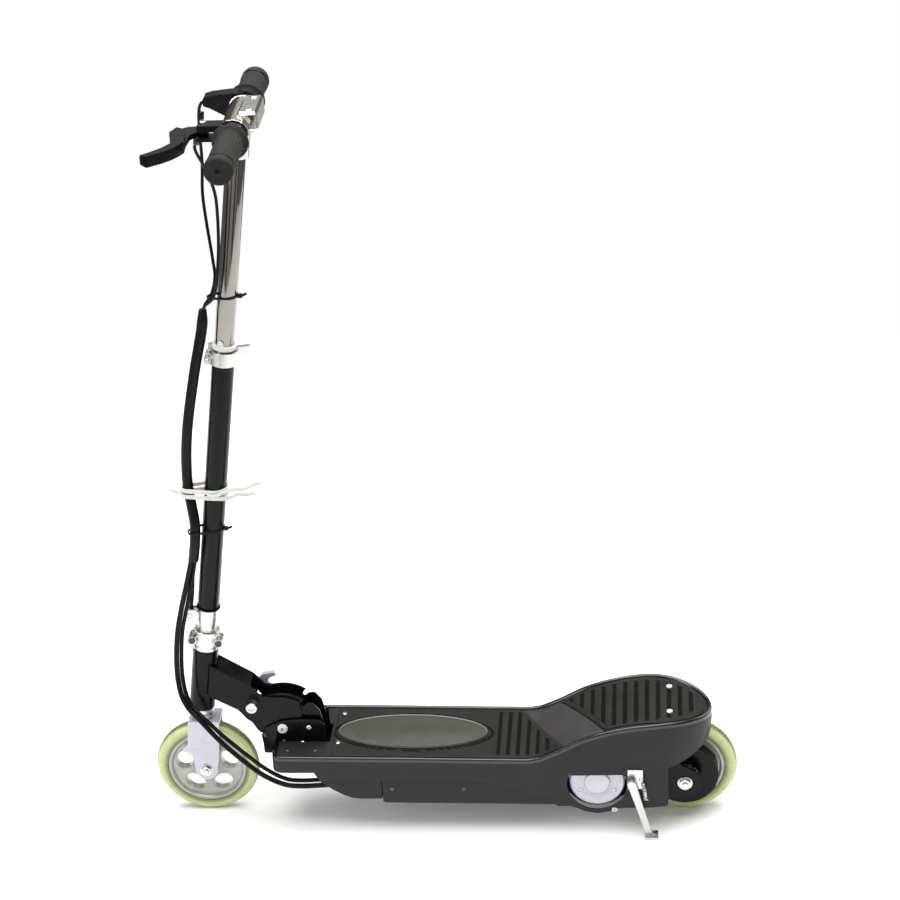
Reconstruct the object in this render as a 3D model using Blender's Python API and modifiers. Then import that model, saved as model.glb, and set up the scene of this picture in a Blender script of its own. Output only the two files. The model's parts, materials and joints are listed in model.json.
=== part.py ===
"""Electric kick scooter: folding neck, telescopic stem, belt-driven rear wheel, battery deck.

Metres. X runs along the scooter with the front wheel toward -X, +Y is the rider's right, +Z up.
The origin lies on the ground, midway between the two wheel axles.
"""

import math

import bmesh
import bpy
from mathutils import Matrix, Vector

# ---------------------------------------------------------------- driving dimensions
WHEELBASE = 0.6446
WHEEL_R = 0.070
TYRE_HALF = 0.012
FRONT_X = -WHEELBASE / 2
REAR_X = WHEELBASE / 2

LEAN = math.radians(8.3)        # the stem leans back by this much
STEER_TRAIL = 0.0135            # steering axis ahead of the axle, at axle height
BAR_Z = 0.9857                  # handlebar height
BAR_HALF = 0.160                # handlebar half length

HEAD_R = 0.0170
STEERER_R = 0.0125
STEM_R = 0.0143
RISER_R = 0.0123
BAR_R = 0.0111
GRIP_R = 0.0168

DECK_HALF = 0.065               # half width of the deck
DECK_FRONT = -0.2245
HEEL_START = 0.265              # where the heel begins to round off in plan
HEEL_END = 0.359
SKIN = 0.0022                   # wall of the moulded deck cover
RIM_DEPTH = 0.0030              # how far the mats' floor lies under the rim
TRAY_HALF = 0.0622              # half width of the two trays under the deck

PIVOT = Vector((-0.2124, 0.0, 0.1398))   # fold pivot
FOLD_DEG = 86.0
SECTOR_R = 0.0500               # rim of the notched fold sectors
LATCH_DEG = 136.0               # direction of the latch pin from the pivot, riding position
LATCH_PIN_R = 0.0025
LATCH_REST = SECTOR_R + LATCH_PIN_R + 0.0004
LATCH_DROP = 0.0070

MOTOR_X = 0.2064
MOTOR_Z = 0.0789
MOTOR_R = 0.0369
MOTOR_Y = -0.0285
PULLEY_SMALL_R = 0.0062         # 13 teeth of a 3 mm belt
PULLEY_LARGE_R = 0.0392         # 82 teeth
BELT_Y = 0.0235                 # middle of the belt run, on the rider's right
BELT_THICK = 0.0022
BRAKE_Y = -0.0212               # middle of the brake drum, on the rider's left

SIDE_FRAME_Y = 0.0470           # middle of each steel side frame
SIDE_FRAME_T = 0.0030
GAP = 0.0003                    # clearance left between touching pieces
MAT_LIFT = 0.0010               # the curved mats keep a little more
MAT_THICK = 0.0014

STAND_X = 0.2520                # kickstand pivot
STAND_Z = 0.0860
STAND_Y = -0.0710

SWITCH_X = -0.0200              # rocker switch in the right-hand skirt
SWITCH_Z = 0.1010

# ---------------------------------------------------------------- finishes
FINISHES = {
    "black_plastic": ((0.016, 0.016, 0.018, 1), 0.42, 0.0),
    "black_paint": ((0.010, 0.010, 0.011, 1), 0.35, 0.1),
    "tread_rubber": ((0.022, 0.022, 0.022, 1), 0.85, 0.0),
    "grip_foam": ((0.018, 0.018, 0.018, 1), 0.90, 0.0),
    "chrome": ((0.75, 0.75, 0.74, 1), 0.12, 1.0),
    "zinc": ((0.62, 0.62, 0.63, 1), 0.35, 1.0),
    "silver_paint": ((0.66, 0.66, 0.70, 1), 0.40, 0.6),
    "clear_urethane": ((0.72, 0.78, 0.45, 1), 0.25, 0.0),
    "hub_plastic": ((0.35, 0.36, 0.33, 1), 0.45, 0.0),
    "badge": ((0.20, 0.20, 0.16, 1), 0.45, 0.3),
    "battery": ((0.10, 0.10, 0.11, 1), 0.55, 0.0),
    "cable": ((0.012, 0.012, 0.012, 1), 0.55, 0.0),
    "belt": ((0.020, 0.020, 0.020, 1), 0.80, 0.0),
    "switch_red": ((0.55, 0.03, 0.03, 1), 0.40, 0.0),
}

for old in list(bpy.data.objects):
    bpy.data.objects.remove(old, do_unlink=True)

PARTS = bpy.data.collections.new("electric_kick_scooter")
CUTTERS = bpy.data.collections.new("cutters")
bpy.context.scene.collection.children.link(PARTS)
bpy.context.scene.collection.children.link(CUTTERS)


# ---------------------------------------------------------------- tools
def finish_of(name):
    material = bpy.data.materials.get(name)
    if material is None:
        colour, roughness, metallic = FINISHES[name]
        material = bpy.data.materials.new(name)
        material.use_nodes = True
        shader = material.node_tree.nodes["Principled BSDF"]
        shader.inputs["Base Color"].default_value = colour
        shader.inputs["Roughness"].default_value = roughness
        shader.inputs["Metallic"].default_value = metallic
    return material


def add_object(name, mesh, finish=None):
    """A mesh object: a part when it has a finish, a hidden cutter when it has none."""
    obj = bpy.data.objects.new(name, mesh)
    if finish is None:
        CUTTERS.objects.link(obj)
        obj.hide_render = True
        obj.display_type = "WIRE"
    else:
        PARTS.objects.link(obj)
        mesh.materials.clear()
        mesh.materials.append(finish_of(finish))
        mesh.shade_smooth()
        mesh.set_sharp_from_angle(angle=math.radians(35))
    return obj


def mesh_from(bm, name):
    bmesh.ops.recalc_face_normals(bm, faces=bm.faces)
    mesh = bpy.data.meshes.new(name)
    bm.to_mesh(mesh)
    bm.free()
    return mesh


def place(obj, centre, turn=None):
    obj.matrix_world = Matrix.Translation(centre) @ (turn or Matrix.Identity(4))
    return obj


def bevel(obj, width, segments=2, angle=40):
    modifier = obj.modifiers.new("bevel", "BEVEL")
    modifier.width = width
    modifier.segments = segments
    modifier.limit_method = "ANGLE"
    modifier.angle_limit = math.radians(angle)
    return obj


def box(name, size, centre, finish=None, turn=None):
    bm = bmesh.new()
    bmesh.ops.create_cube(bm, size=1.0)
    bmesh.ops.scale(bm, vec=Vector(size), verts=bm.verts)
    return place(add_object(name, mesh_from(bm, name), finish), centre, turn)


Y_AXIS = Matrix.Rotation(math.radians(-90), 4, "X")     # local +Z becomes world +Y
STEM_AXIS = Matrix.Rotation(LEAN, 4, "Y")               # local +Z follows the leaning stem


def rod(name, radius, depth, centre, finish=None, turn=None, sides=20):
    """A cylinder along local Z (a hexagon with sides=6)."""
    bm = bmesh.new()
    bmesh.ops.create_cone(bm, cap_ends=True, segments=sides, radius1=radius, radius2=radius, depth=depth)
    return place(add_object(name, mesh_from(bm, name), finish), centre, turn)


def turned(name, profile, centre, finish=None, turn=None, steps=28):
    """A closed (radius, height) profile spun about local Z by a Screw modifier."""
    bm = bmesh.new()
    corners = [bm.verts.new((radius, 0.0, height)) for radius, height in profile]
    closed = profile[0][0] > 1e-6 and profile[-1][0] > 1e-6
    for first, second in zip(corners, corners[1:]):
        bm.edges.new((first, second))
    if closed:
        bm.edges.new((corners[-1], corners[0]))
    mesh = bpy.data.meshes.new(name)
    bm.to_mesh(mesh)
    bm.free()
    obj = add_object(name, mesh, finish)
    screw = obj.modifiers.new("screw", "SCREW")
    screw.steps = steps
    screw.render_steps = steps
    screw.use_merge_vertices = True
    screw.merge_threshold = 0.00001
    return place(obj, centre, turn)


def ring(name, outer, inner, depth, centre, finish=None, turn=None, steps=28):
    half = depth / 2
    profile = [(outer, half), (outer, -half), (inner, -half), (inner, half)]
    return turned(name, profile, centre, finish, turn, steps)


def to_mesh(obj, finish):
    """Replaces a curve object by a mesh with its caps welded on."""
    bpy.context.view_layer.update()
    evaluated = obj.evaluated_get(bpy.context.evaluated_depsgraph_get())
    mesh = bpy.data.meshes.new_from_object(evaluated)
    bm = bmesh.new()
    bm.from_mesh(mesh)
    bmesh.ops.remove_doubles(bm, verts=bm.verts, dist=0.00001)
    bmesh.ops.recalc_face_normals(bm, faces=bm.faces)
    bm.to_mesh(mesh)
    bm.free()
    name = obj.name
    matrix = obj.matrix_world.copy()
    bpy.data.objects.remove(obj, do_unlink=True)
    fresh = add_object(name, mesh, finish)
    fresh.matrix_world = matrix
    return fresh


SIDE_VIEW = Matrix.Rotation(math.radians(90), 4, "X")   # local (x, y) becomes world (X, Z)


def plate(name, outlines, thickness, y=0.0, finish=None, turn=SIDE_VIEW, centre=None):
    """A flat plate from a 2D curve: the first outline is its edge, the others are holes in it."""
    curve = bpy.data.curves.new(name, "CURVE")
    curve.dimensions = "2D"
    curve.fill_mode = "BOTH"
    curve.extrude = thickness / 2
    for outline in outlines:
        spline = curve.splines.new("POLY")
        spline.points.add(len(outline) - 1)
        spline.use_cyclic_u = True
        for point, (across, up) in zip(spline.points, outline):
            point.co = (across, up, 0.0, 1.0)
    obj = bpy.data.objects.new(name, curve)
    bpy.context.scene.collection.objects.link(obj)
    place(obj, centre or Vector((0.0, y, 0.0)), turn)
    return to_mesh(obj, finish)


def tube(name, points, radius, finish, resolution=2):
    """A cable or bent rod along a smooth list of points."""
    curve = bpy.data.curves.new(name, "CURVE")
    curve.dimensions = "3D"
    curve.bevel_depth = radius
    curve.bevel_resolution = resolution
    curve.use_fill_caps = True
    spline = curve.splines.new("POLY")
    spline.points.add(len(points) - 1)
    for point, place_at in zip(spline.points, points):
        point.co = (*place_at, 1.0)
    curve.materials.append(finish_of(finish))
    obj = bpy.data.objects.new(name, curve)
    PARTS.objects.link(obj)
    return obj


def boolean(obj, other, operation):
    modifier = obj.modifiers.new(operation.lower(), "BOOLEAN")
    modifier.operation = operation
    modifier.object = other
    return obj


def cut(obj, *cutters):
    for cutter in cutters:
        boolean(obj, cutter, "DIFFERENCE")
    return obj


def join(obj, *others):
    for other in others:
        boolean(obj, other, "UNION")
    return obj


def arc(centre, radius, start, end, count):
    """Points of an arc in the XZ plane, angles in degrees from +X toward +Z."""
    points = []
    for step in range(count + 1):
        angle = math.radians(start + (end - start) * step / count)
        points.append((centre[0] + radius * math.cos(angle), centre[1] + radius * math.sin(angle)))
    return points


def circle(centre, radius, count=24):
    return arc(centre, radius, 0, 360, count)[:-1]


def smooth_path(corners, spacing):
    """Points about `spacing` apart on a Catmull-Rom curve through the corners."""
    knots = [Vector(corner) for corner in corners]
    knots = [2 * knots[0] - knots[1]] + knots + [2 * knots[-1] - knots[-2]]
    path = []
    for before, start, end, after in zip(knots, knots[1:], knots[2:], knots[3:]):
        count = max(1, round((end - start).length / spacing))
        for step in range(count):
            t = step / count
            path.append(0.5 * (2 * start + (end - before) * t
                               + (2 * before - 5 * start + 4 * end - after) * t ** 2
                               + (3 * start - before - 3 * end + after) * t ** 3))
    path.append(knots[-2])
    return path


def stem_point(z):
    """The point of the steering axis at height z."""
    return Vector((FRONT_X - STEER_TRAIL + (z - WHEEL_R) * math.tan(LEAN), 0.0, z))


def stem_rod_span(bottom, top):
    """Centre and length of a piece that fills the stem from one height to another."""
    return (stem_point(bottom) + stem_point(top)) / 2, (top - bottom) / math.cos(LEAN)


def stem_ring(name, outer, inner, bottom, top, finish=None, steps=28):
    centre, length = stem_rod_span(bottom, top)
    return ring(name, outer, inner, length, centre, finish, STEM_AXIS, steps)


def around_pivot(radius, degrees):
    angle = math.radians(degrees)
    return (PIVOT.x + radius * math.cos(angle), PIVOT.z + radius * math.sin(angle))


# ---------------------------------------------------------------- wheels
def tyre(name, x):
    """A solid urethane tyre with a round tread."""
    tread = [(0.058 + 0.012 * math.cos(a), TYRE_HALF * math.sin(a))
             for a in (math.radians(75 - 25 * step) for step in range(7))]
    profile = [(0.0535, 0.0105)] + tread + [(0.0535, -0.0105)]
    return turned(name, profile, (x, 0.0, WHEEL_R), "clear_urethane", Y_AXIS, 36)


def hub(name, x, spokes=5):
    """A moulded hub: an outer band, open windows between the spokes, and a central boss."""
    centre = (x, WHEEL_R)
    windows = []
    for spoke in range(spokes):
        middle = 90 + 360 * spoke / spokes
        windows.append(arc(centre, 0.0430, middle - 25, middle + 25, 4)
                       + arc(centre, 0.0190, middle + 17, middle - 17, 2))
    body = plate(name, [circle(centre, 0.0500, 32)] + windows, 0.014, 0.0, "hub_plastic")
    boss = rod(name + "_boss", 0.0140, 0.0246, (x, 0.0, WHEEL_R), turn=Y_AXIS)
    band = ring(name + "_band", 0.0532, 0.0470, 0.0210, (x, 0.0, WHEEL_R), turn=Y_AXIS, steps=32)
    bore = rod(name + "_bore", 0.0044, 0.05, (x, 0.0, WHEEL_R), turn=Y_AXIS)
    join(body, boss, band)
    return cut(body, bore)


def front_wheel():
    tyre("front_tyre", FRONT_X)
    hub("front_hub", FRONT_X)


def rear_wheel():
    tyre("rear_tyre", REAR_X)
    hub("rear_hub", REAR_X)
    # driven pulley on the rider's right: a toothed rim on a dished web
    profile = [(PULLEY_LARGE_R, 0.0065), (PULLEY_LARGE_R, -0.0065), (0.0330, -0.0065), (0.0320, -0.0025),
               (0.0110, -0.0025), (0.0110, -0.0105), (0.0044, -0.0105), (0.0044, 0.0065)]
    turned("driven_pulley", profile, (REAR_X, BELT_Y, WHEEL_R), "black_plastic", Y_AXIS, 32)
    # brake drum on the rider's left
    ring("brake_drum", 0.0405, 0.0044, 0.0140, (REAR_X, BRAKE_Y, WHEEL_R), "zinc", Y_AXIS)


# ---------------------------------------------------------------- fork and steering column
def fork():
    """A bent-strip fork: two blades, a crown and the steerer welded up through the head tube."""
    axle = (FRONT_X, WHEEL_R)
    outline = (arc(axle, 0.0150, 200, 350, 7)
               + [(-0.3040, 0.0900), (-0.3022, 0.1050), (-0.2985, 0.1470)]
               + [(-0.3410, 0.1470), (-0.3445, 0.1110), (-0.3520, 0.1040), (-0.3505, 0.0990),
                  (-0.3430, 0.0965), (-0.3390, 0.0900)])
    left = plate("fork", [outline], 0.0036, -0.0158, "silver_paint")
    right = plate("fork_right", [outline], 0.0036, 0.0158)
    crown = box("fork_crown", (0.0425, 0.0352, 0.0042), (-0.3198, 0.0, 0.1452))
    centre, length = stem_rod_span(0.1460, 0.2840)
    steerer = rod("fork_steerer", STEERER_R, length, centre, turn=STEM_AXIS, sides=32)
    slot = rod("fork_axle_hole", 0.0044, 0.06, (FRONT_X, 0.0, WHEEL_R), turn=Y_AXIS)
    join(left, crown, right, steerer)
    cut(left, slot)
    axle_rod = rod("front_axle", 0.0040, 0.0430, (FRONT_X, 0.0, WHEEL_R), "zinc", Y_AXIS)
    for side in (-1, 1):
        nut = rod(f"front_nut_{side}", 0.0078, 0.0052, (FRONT_X, side * 0.0206, WHEEL_R), turn=Y_AXIS, sides=6)
        join(axle_rod, nut)


def steering_column():
    stem_ring("headset_lower_cup", 0.0166, STEERER_R + GAP, 0.1505, 0.1645, "zinc")
    stem_ring("head_tube", HEAD_R, 0.0150, 0.1650, 0.2560, "black_paint")
    stem_ring("stem_sleeve", 0.0134, 0.0098, 0.2850, 0.3400, "zinc")
    centre, length = stem_rod_span(0.3165, 0.6790)
    half = length / 2
    wall = [(STEM_R, half), (STEM_R, -half), (0.0138, -half), (0.0138, -half + 0.03),
            (0.0127, -half + 0.032), (0.0127, half)]
    turned("stem_tube", wall, centre, "black_paint", STEM_AXIS, 28)
    lower_clamp()
    upper_clamp()


def lower_clamp():
    """The split collar that grips the steerer, with two bolt lugs."""
    middle = stem_point(0.2706)
    centre, length = stem_rod_span(0.2567, 0.2845)
    collar = rod("lower_clamp", 0.0168, length, centre, "zinc", STEM_AXIS, 24)
    for side in (-1, 1):
        offset = STEM_AXIS @ Vector((side * 0.0175, -0.004, 0.0))
        lug = rod(f"lower_clamp_lug_{side}", 0.0062, 0.0200, middle + offset, turn=Y_AXIS, sides=14)
        join(collar, lug)
    centre, length = stem_rod_span(0.2500, 0.2900)
    cut(collar, rod("lower_clamp_bore", STEERER_R + GAP, length, centre, turn=STEM_AXIS, sides=24))


def upper_clamp():
    """The quick-release collar at the top of the stem tube, split at the front."""
    centre, length = stem_rod_span(0.6722, 0.6905)
    half = length / 2
    step = half - 0.0108
    profile = [(0.0178, half), (0.0178, -half), (STEM_R + GAP, -half), (STEM_R + GAP, step),
               (RISER_R + GAP, step), (RISER_R + GAP, half)]
    collar = turned("upper_clamp", profile, centre, "zinc", STEM_AXIS, 28)
    middle = stem_point(0.6800)
    ears = box("upper_clamp_ears", (0.0080, 0.0150, 0.0150), middle + Vector((-0.0190, 0.0, 0.0)), turn=STEM_AXIS)
    slit = box("upper_clamp_slit", (0.0200, 0.0020, 0.0600), middle + Vector((-0.0225, 0.0, 0.0)), turn=STEM_AXIS)
    join(collar, ears)
    cut(collar, slit)
    # the lever hugs the collar's right side; its barrel turns about a pin along the stem
    hinge_at = middle + Vector((-0.0180, 0.0238, 0.0))
    lever = rod("upper_clamp_lever", 0.0058, 0.0130, hinge_at, "zinc", STEM_AXIS, 20)
    arm = plate("upper_clamp_arm",
                [[(-0.004, -0.004), (0.004, -0.0045), (0.030, -0.0035), (0.046, 0.004), (0.048, 0.010),
                  (0.043, 0.010), (0.028, 0.0030), (0.004, 0.0045)]],
                0.0100, turn=STEM_AXIS @ Matrix.Rotation(math.radians(6), 4, "Z"), centre=hinge_at)
    join(lever, arm)


# ---------------------------------------------------------------- folding neck
def neck():
    """The inverted-U neck that carries the head tube and straddles the notched sectors."""
    top_x = stem_point(0.2360).x + 0.0090
    low_x = stem_point(0.1890).x + 0.0090
    pivot = (PIVOT.x, PIVOT.z)
    outline = ([(low_x, 0.1890), (-0.2710, 0.1670), (-0.2601, 0.1527), (-0.2537, 0.1478), (-0.2467, 0.1350)]
               + arc(pivot, 0.0200, 215, 330, 6)
               + [(-0.1880, 0.1460), (-0.1851, 0.1635), (-0.1875, 0.1735)]
               + arc(pivot, 0.0462, 60, 94, 4)
               + [(-0.2371, 0.1862), (-0.2517, 0.2033), (top_x, 0.2360)])
    bolt_hole = circle(pivot, 0.0044, 20)
    inner, outer = LATCH_REST - LATCH_DROP, LATCH_REST
    slot = slot_outline(inner, outer, LATCH_DEG, LATCH_PIN_R + GAP)
    left = plate("neck_bracket", [outline, bolt_hole, slot], 0.0025, -0.01675, "black_paint")
    right = plate("neck_bracket_right", [outline, bolt_hole, slot], 0.0025, 0.01675)
    # the top web follows the upper edge as far as the latch
    start, end = Vector((top_x, 0.0, 0.2360)), Vector((-0.2517, 0.0, 0.2033))
    along = (end - start).normalized()
    start = start + along * 0.0095
    middle = (start + end) / 2
    turn = Matrix.Rotation(math.atan2(-along.z, along.x), 4, "Y")
    web = box("neck_web", ((end - start).length, 0.0350, 0.0026), middle + Vector((-0.0008, 0.0, -0.0014)), turn=turn)
    join(left, web, right)
    centre, length = stem_rod_span(0.1500, 0.2700)
    cut(left, rod("neck_head_clearance", HEAD_R + GAP, length, centre, turn=STEM_AXIS, sides=40))


def slot_outline(inner, outer, degrees, half_width):
    """A round-ended slot that runs away from the fold pivot."""
    outer_end = arc(around_pivot(outer, degrees), half_width, degrees - 90, degrees + 90, 6)
    inner_end = arc(around_pivot(inner, degrees), half_width, degrees + 90, degrees + 270, 6)
    return outer_end + inner_end


def sector_outline():
    """The notched plate beside the pivot: a notch to ride and a notch to stay folded."""
    pivot = (PIVOT.x, PIVOT.z)
    bottom = SECTOR_R - LATCH_DROP - LATCH_PIN_R + 0.0001
    half = math.degrees(math.asin((LATCH_PIN_R + 0.0005) / SECTOR_R))
    fold_notch = LATCH_DEG - FOLD_DEG

    def notch(degrees):
        """The round seat of a notch, walked clockwise end first."""
        seat = around_pivot(bottom + LATCH_PIN_R + GAP, degrees)
        return arc(seat, LATCH_PIN_R + 0.0005, degrees + 270, degrees + 90, 6)

    spike = around_pivot(0.0545, fold_notch - 10)
    return ([(PIVOT.x + 0.0565, 0.1034), (PIVOT.x + 0.0555, 0.1420), (PIVOT.x + 0.0505, 0.1640), spike]
            + [around_pivot(0.0480, fold_notch - half - 1)] + notch(fold_notch)
            + arc(pivot, SECTOR_R, fold_notch + half, LATCH_DEG - half, 12)
            + notch(LATCH_DEG)
            + arc(pivot, SECTOR_R, LATCH_DEG + half, LATCH_DEG + 9, 2)
            + [(PIVOT.x - 0.0330, 0.1300), (PIVOT.x - 0.0246, 0.1262), (PIVOT.x - 0.0246, 0.1034)])


def fold_base():
    """The welded base bracket, its two notched sectors and the pivot bolt."""
    cheek = [(-0.2385, 0.1005), (-0.1540, 0.1005), (-0.1550, 0.1440), (-0.1640, 0.1525), (-0.1880, 0.1540),
             (-0.2130, 0.1515), (-0.2340, 0.1415), (-0.2420, 0.1290)]
    pivot = (PIVOT.x, PIVOT.z)
    holes = [circle(pivot, 0.0044, 20)]
    left = plate("fold_bracket", [cheek] + holes, 0.0028, -0.0199, "black_paint")
    right = plate("fold_bracket_right", [cheek] + holes, 0.0028, 0.0199)
    base = box("fold_bracket_base", (0.0840, 0.0400, 0.0026), (-0.1965, 0.0, 0.1018))
    front = box("fold_bracket_front", (0.0026, 0.0400, 0.0240), (-0.2390, 0.0, 0.1125))
    join(left, base, right, front)
    for side, name in ((-1, "sector_plate_left"), (1, "sector_plate_right")):
        plate(name, [sector_outline(), circle(pivot, 0.0044, 20)], 0.0028, side * 0.0132, "black_paint")
    bolt = rod("fold_pivot_bolt", 0.0040, 0.0480, PIVOT, "zinc", Y_AXIS)
    head = turned("fold_bolt_head", [(0.0, 0.0022), (0.0045, 0.0020), (0.0068, 0.0002), (0.0070, -0.0020),
                                     (0.0, -0.0020)], PIVOT + Vector((0.0, -0.0236, 0.0)),
                  turn=Y_AXIS @ Matrix.Rotation(math.pi, 4, "X"), steps=24)
    nut = rod("fold_bolt_nut", 0.0070, 0.0045, PIVOT + Vector((0.0, 0.0239, 0.0)), turn=Y_AXIS, sides=6)
    join(bolt, head, nut)


def latch():
    """The skewer that drops into a notch, its barrel nut, and the quick-release lever."""
    spot_x, spot_z = around_pivot(LATCH_REST, LATCH_DEG)
    spot = Vector((spot_x, 0.0, spot_z))
    pin = rod("latch_skewer", LATCH_PIN_R, 0.0419, spot + Vector((0.0, 0.0010, 0.0)), "zinc", Y_AXIS, 16)
    barrel = rod("latch_barrel", 0.0078, 0.0120, spot + Vector((0.0, -0.0245, 0.0)), turn=Y_AXIS, sides=20)
    join(pin, barrel)
    hinge_at = spot + Vector((0.0, 0.0285, 0.0))
    cam = rod("latch_lever", 0.0060, 0.0110, hinge_at,
              "zinc", Matrix.Rotation(math.radians(-20), 4, "Y"), 20)
    lever = [(-0.0040, -0.0050), (0.0160, -0.0120), (0.0400, -0.0130), (0.0445, -0.0090), (0.0300, -0.0050),
             (0.0190, 0.0000), (0.0145, 0.0070), (0.0180, 0.0130), (0.0270, 0.0170), (0.0250, 0.0220),
             (0.0090, 0.0190), (0.0000, 0.0095)]
    arm = plate("latch_arm", [[(spot_x + dx, spot_z + dz) for dx, dz in lever]], 0.0075, 0.0290)
    join(cam, arm)


# ---------------------------------------------------------------- deck
RIM_LINE = [(-0.300, 0.1230), (-0.230, 0.1225), (-0.050, 0.1203), (0.090, 0.1180), (0.125, 0.1190),
            (0.155, 0.1315), (0.190, 0.1500), (0.225, 0.1618), (0.262, 0.1688), (0.295, 0.1705),
            (0.330, 0.1668), (0.359, 0.1600), (0.390, 0.1500)]


def rim_height(x):
    """The deck's rim line: level under the front foot, then a smooth step up to the heel."""
    for index in range(1, len(RIM_LINE) - 2):
        (x1, z1), (x2, z2) = RIM_LINE[index], RIM_LINE[index + 1]
        if x <= x2 or index == len(RIM_LINE) - 3:
            (x0, z0), (x3, z3) = RIM_LINE[index - 1], RIM_LINE[index + 2]
            span = x2 - x1
            t = (x - x1) / span
            slope1 = (z2 - z0) / (x2 - x0) * span
            slope2 = (z3 - z1) / (x3 - x1) * span
            return ((2 * t ** 3 - 3 * t ** 2 + 1) * z1 + (t ** 3 - 2 * t ** 2 + t) * slope1
                    + (3 * t ** 2 - 2 * t ** 3) * z2 + (t ** 3 - t ** 2) * slope2)
    return RIM_LINE[-1][1]


def along_line(line, x):
    """Height at x on a line of straight runs."""
    if x <= line[0][0]:
        return line[0][1]
    for (x1, z1), (x2, z2) in zip(line, line[1:]):
        if x <= x2:
            return z1 + (z2 - z1) * (x - x1) / (x2 - x1)
    return line[-1][1]


SKIRT_LINE = [(-0.230, 0.0980), (-0.169, 0.0980), (-0.160, 0.0830), (0.050, 0.0830), (0.137, 0.0570),
              (0.154, 0.0445), (0.170, 0.0445), (0.178, 0.0420), (0.190, 0.0360), (0.2064, 0.0330), (0.223, 0.0360),
              (0.234, 0.0405), (0.245, 0.0415), (0.2990, 0.0415), (0.3005, 0.1005), (0.316, 0.1058),
              (0.329, 0.1104), (0.342, 0.1174), (0.349, 0.1215), (0.3545, 0.1280), (0.3575, 0.1400), (0.359, 0.1420)]


def deck_outline():
    """Half of the deck's plan outline, from the middle of the front edge round to the heel's end."""
    corner = 0.014
    points = [(DECK_FRONT, 0.0), (DECK_FRONT, 0.030)]
    for step in range(5):
        angle = math.radians(90 * step / 4)
        points.append((DECK_FRONT + corner * (1 - math.cos(angle)), DECK_HALF - corner * (1 - math.sin(angle))))
    sides = [-0.190, -0.169, -0.160, -0.060, 0.050, 0.095, 0.120, 0.137, 0.154, 0.170, 0.178, 0.190, 0.2064, 0.223,
             0.234, 0.245]
    points += [(x, DECK_HALF) for x in sides]
    heel = [0.265, 0.282, 0.2990, 0.3005, 0.316, 0.329, 0.342, 0.3515, 0.3575, HEEL_END]
    for x in heel:
        reach = (x - HEEL_START) / (HEEL_END - HEEL_START)
        points.append((x, DECK_HALF * math.sqrt(max(0.0, 1 - reach * reach))))
    return points


def inset(points, distance):
    """A plan outline moved inward by a distance, each point along its own normal."""
    moved = []
    for index, (x, y) in enumerate(points):
        before = points[max(index - 1, 0)]
        after = points[min(index + 1, len(points) - 1)]
        run = Vector((after[0] - before[0], after[1] - before[1])).normalized()
        normal = Vector((run.y, -run.x))
        if index == 0:
            normal = Vector((1.0, 0.0))
        if index == len(points) - 1:
            normal = Vector((-1.0, 0.0))
        moved.append((x + normal.x * distance, max(0.0, y + normal.y * distance)))
    return moved


def deck_cover():
    """The moulded deck: side skirts, a raised rim and the recessed floor, as one open shell."""
    outline = deck_outline()
    rows = []
    steps = [(0.0, None), (0.0, -0.0028), (0.0024, 0.0), (0.0050, -0.0004), (0.0062, -RIM_DEPTH)]
    for distance, drop in steps:
        moved = inset(outline, distance) if distance else outline
        row = []
        for (x, _), (mx, my) in zip(outline, moved):
            height = along_line(SKIRT_LINE, x) if drop is None else rim_height(mx) + drop
            row.append((mx, my, height))
        rows.append(row)
    rows.append([(x, 0.0, rim_height(x) - RIM_DEPTH) for x, _, _ in rows[-1]])
    bm = bmesh.new()
    grid = [[bm.verts.new(point) for point in row] for row in rows]
    for lower, upper in zip(grid, grid[1:]):
        for a, b, c, d in zip(lower, lower[1:], upper[1:], upper):
            bm.faces.new((a, b, c, d))
    bmesh.ops.remove_doubles(bm, verts=bm.verts, dist=0.00002)
    bmesh.ops.dissolve_degenerate(bm, dist=0.00001, edges=bm.edges)
    cover = add_object("deck_cover", mesh_from(bm, "deck_cover"), "black_plastic")
    mirror = cover.modifiers.new("mirror", "MIRROR")
    mirror.use_axis = (False, True, False)
    mirror.merge_threshold = 0.00005
    wall = cover.modifiers.new("wall", "SOLIDIFY")
    wall.thickness = SKIN
    wall.offset = -1.0
    slot = box("deck_neck_slot", (0.1100, 0.0436, 0.0800), (-0.2050, 0.0, 0.1200))
    window = plate("deck_motor_window",
                   [arc((MOTOR_X, MOTOR_Z), 0.0395, -204, 20, 24) + [(MOTOR_X + 0.0365, 0.0940),
                    (MOTOR_X - 0.0355, 0.0930)]], 0.0200, -DECK_HALF)
    switch = box("deck_switch_window", (0.0166, 0.0120, 0.0114), (SWITCH_X, DECK_HALF, SWITCH_Z))
    cut(cover, slot, window, switch)
    return cover


def floor_mat(name, front_edge, rear_edge, half_width, lift, thick, finish):
    """A rubber mat that follows the deck floor; its two ends are given as functions of y."""
    across, along = 7, 11
    bm = bmesh.new()
    grid = []
    for j in range(across):
        y = half_width * (2 * j / (across - 1) - 1)
        row = []
        for i in range(along):
            x = front_edge(y) + (rear_edge(y) - front_edge(y)) * i / (along - 1)
            row.append(bm.verts.new((x, y, rim_height(x) - RIM_DEPTH + lift)))
        grid.append(row)
    for first, second in zip(grid, grid[1:]):
        for a, b, c, d in zip(first, first[1:], second[1:], second):
            bm.faces.new((a, b, c, d))
    obj = add_object(name, mesh_from(bm, name), finish)
    wall = obj.modifiers.new("wall", "SOLIDIFY")
    wall.thickness = thick
    wall.offset = 1.0
    return obj


def band_front(y):
    return 0.1345 - 0.49 * y


def band_rear(y):
    return 0.1880 - 0.55 * y


def heel_rear(y):
    return HEEL_START + 0.0862 * math.sqrt(1 - (y / 0.0576) ** 2)


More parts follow.
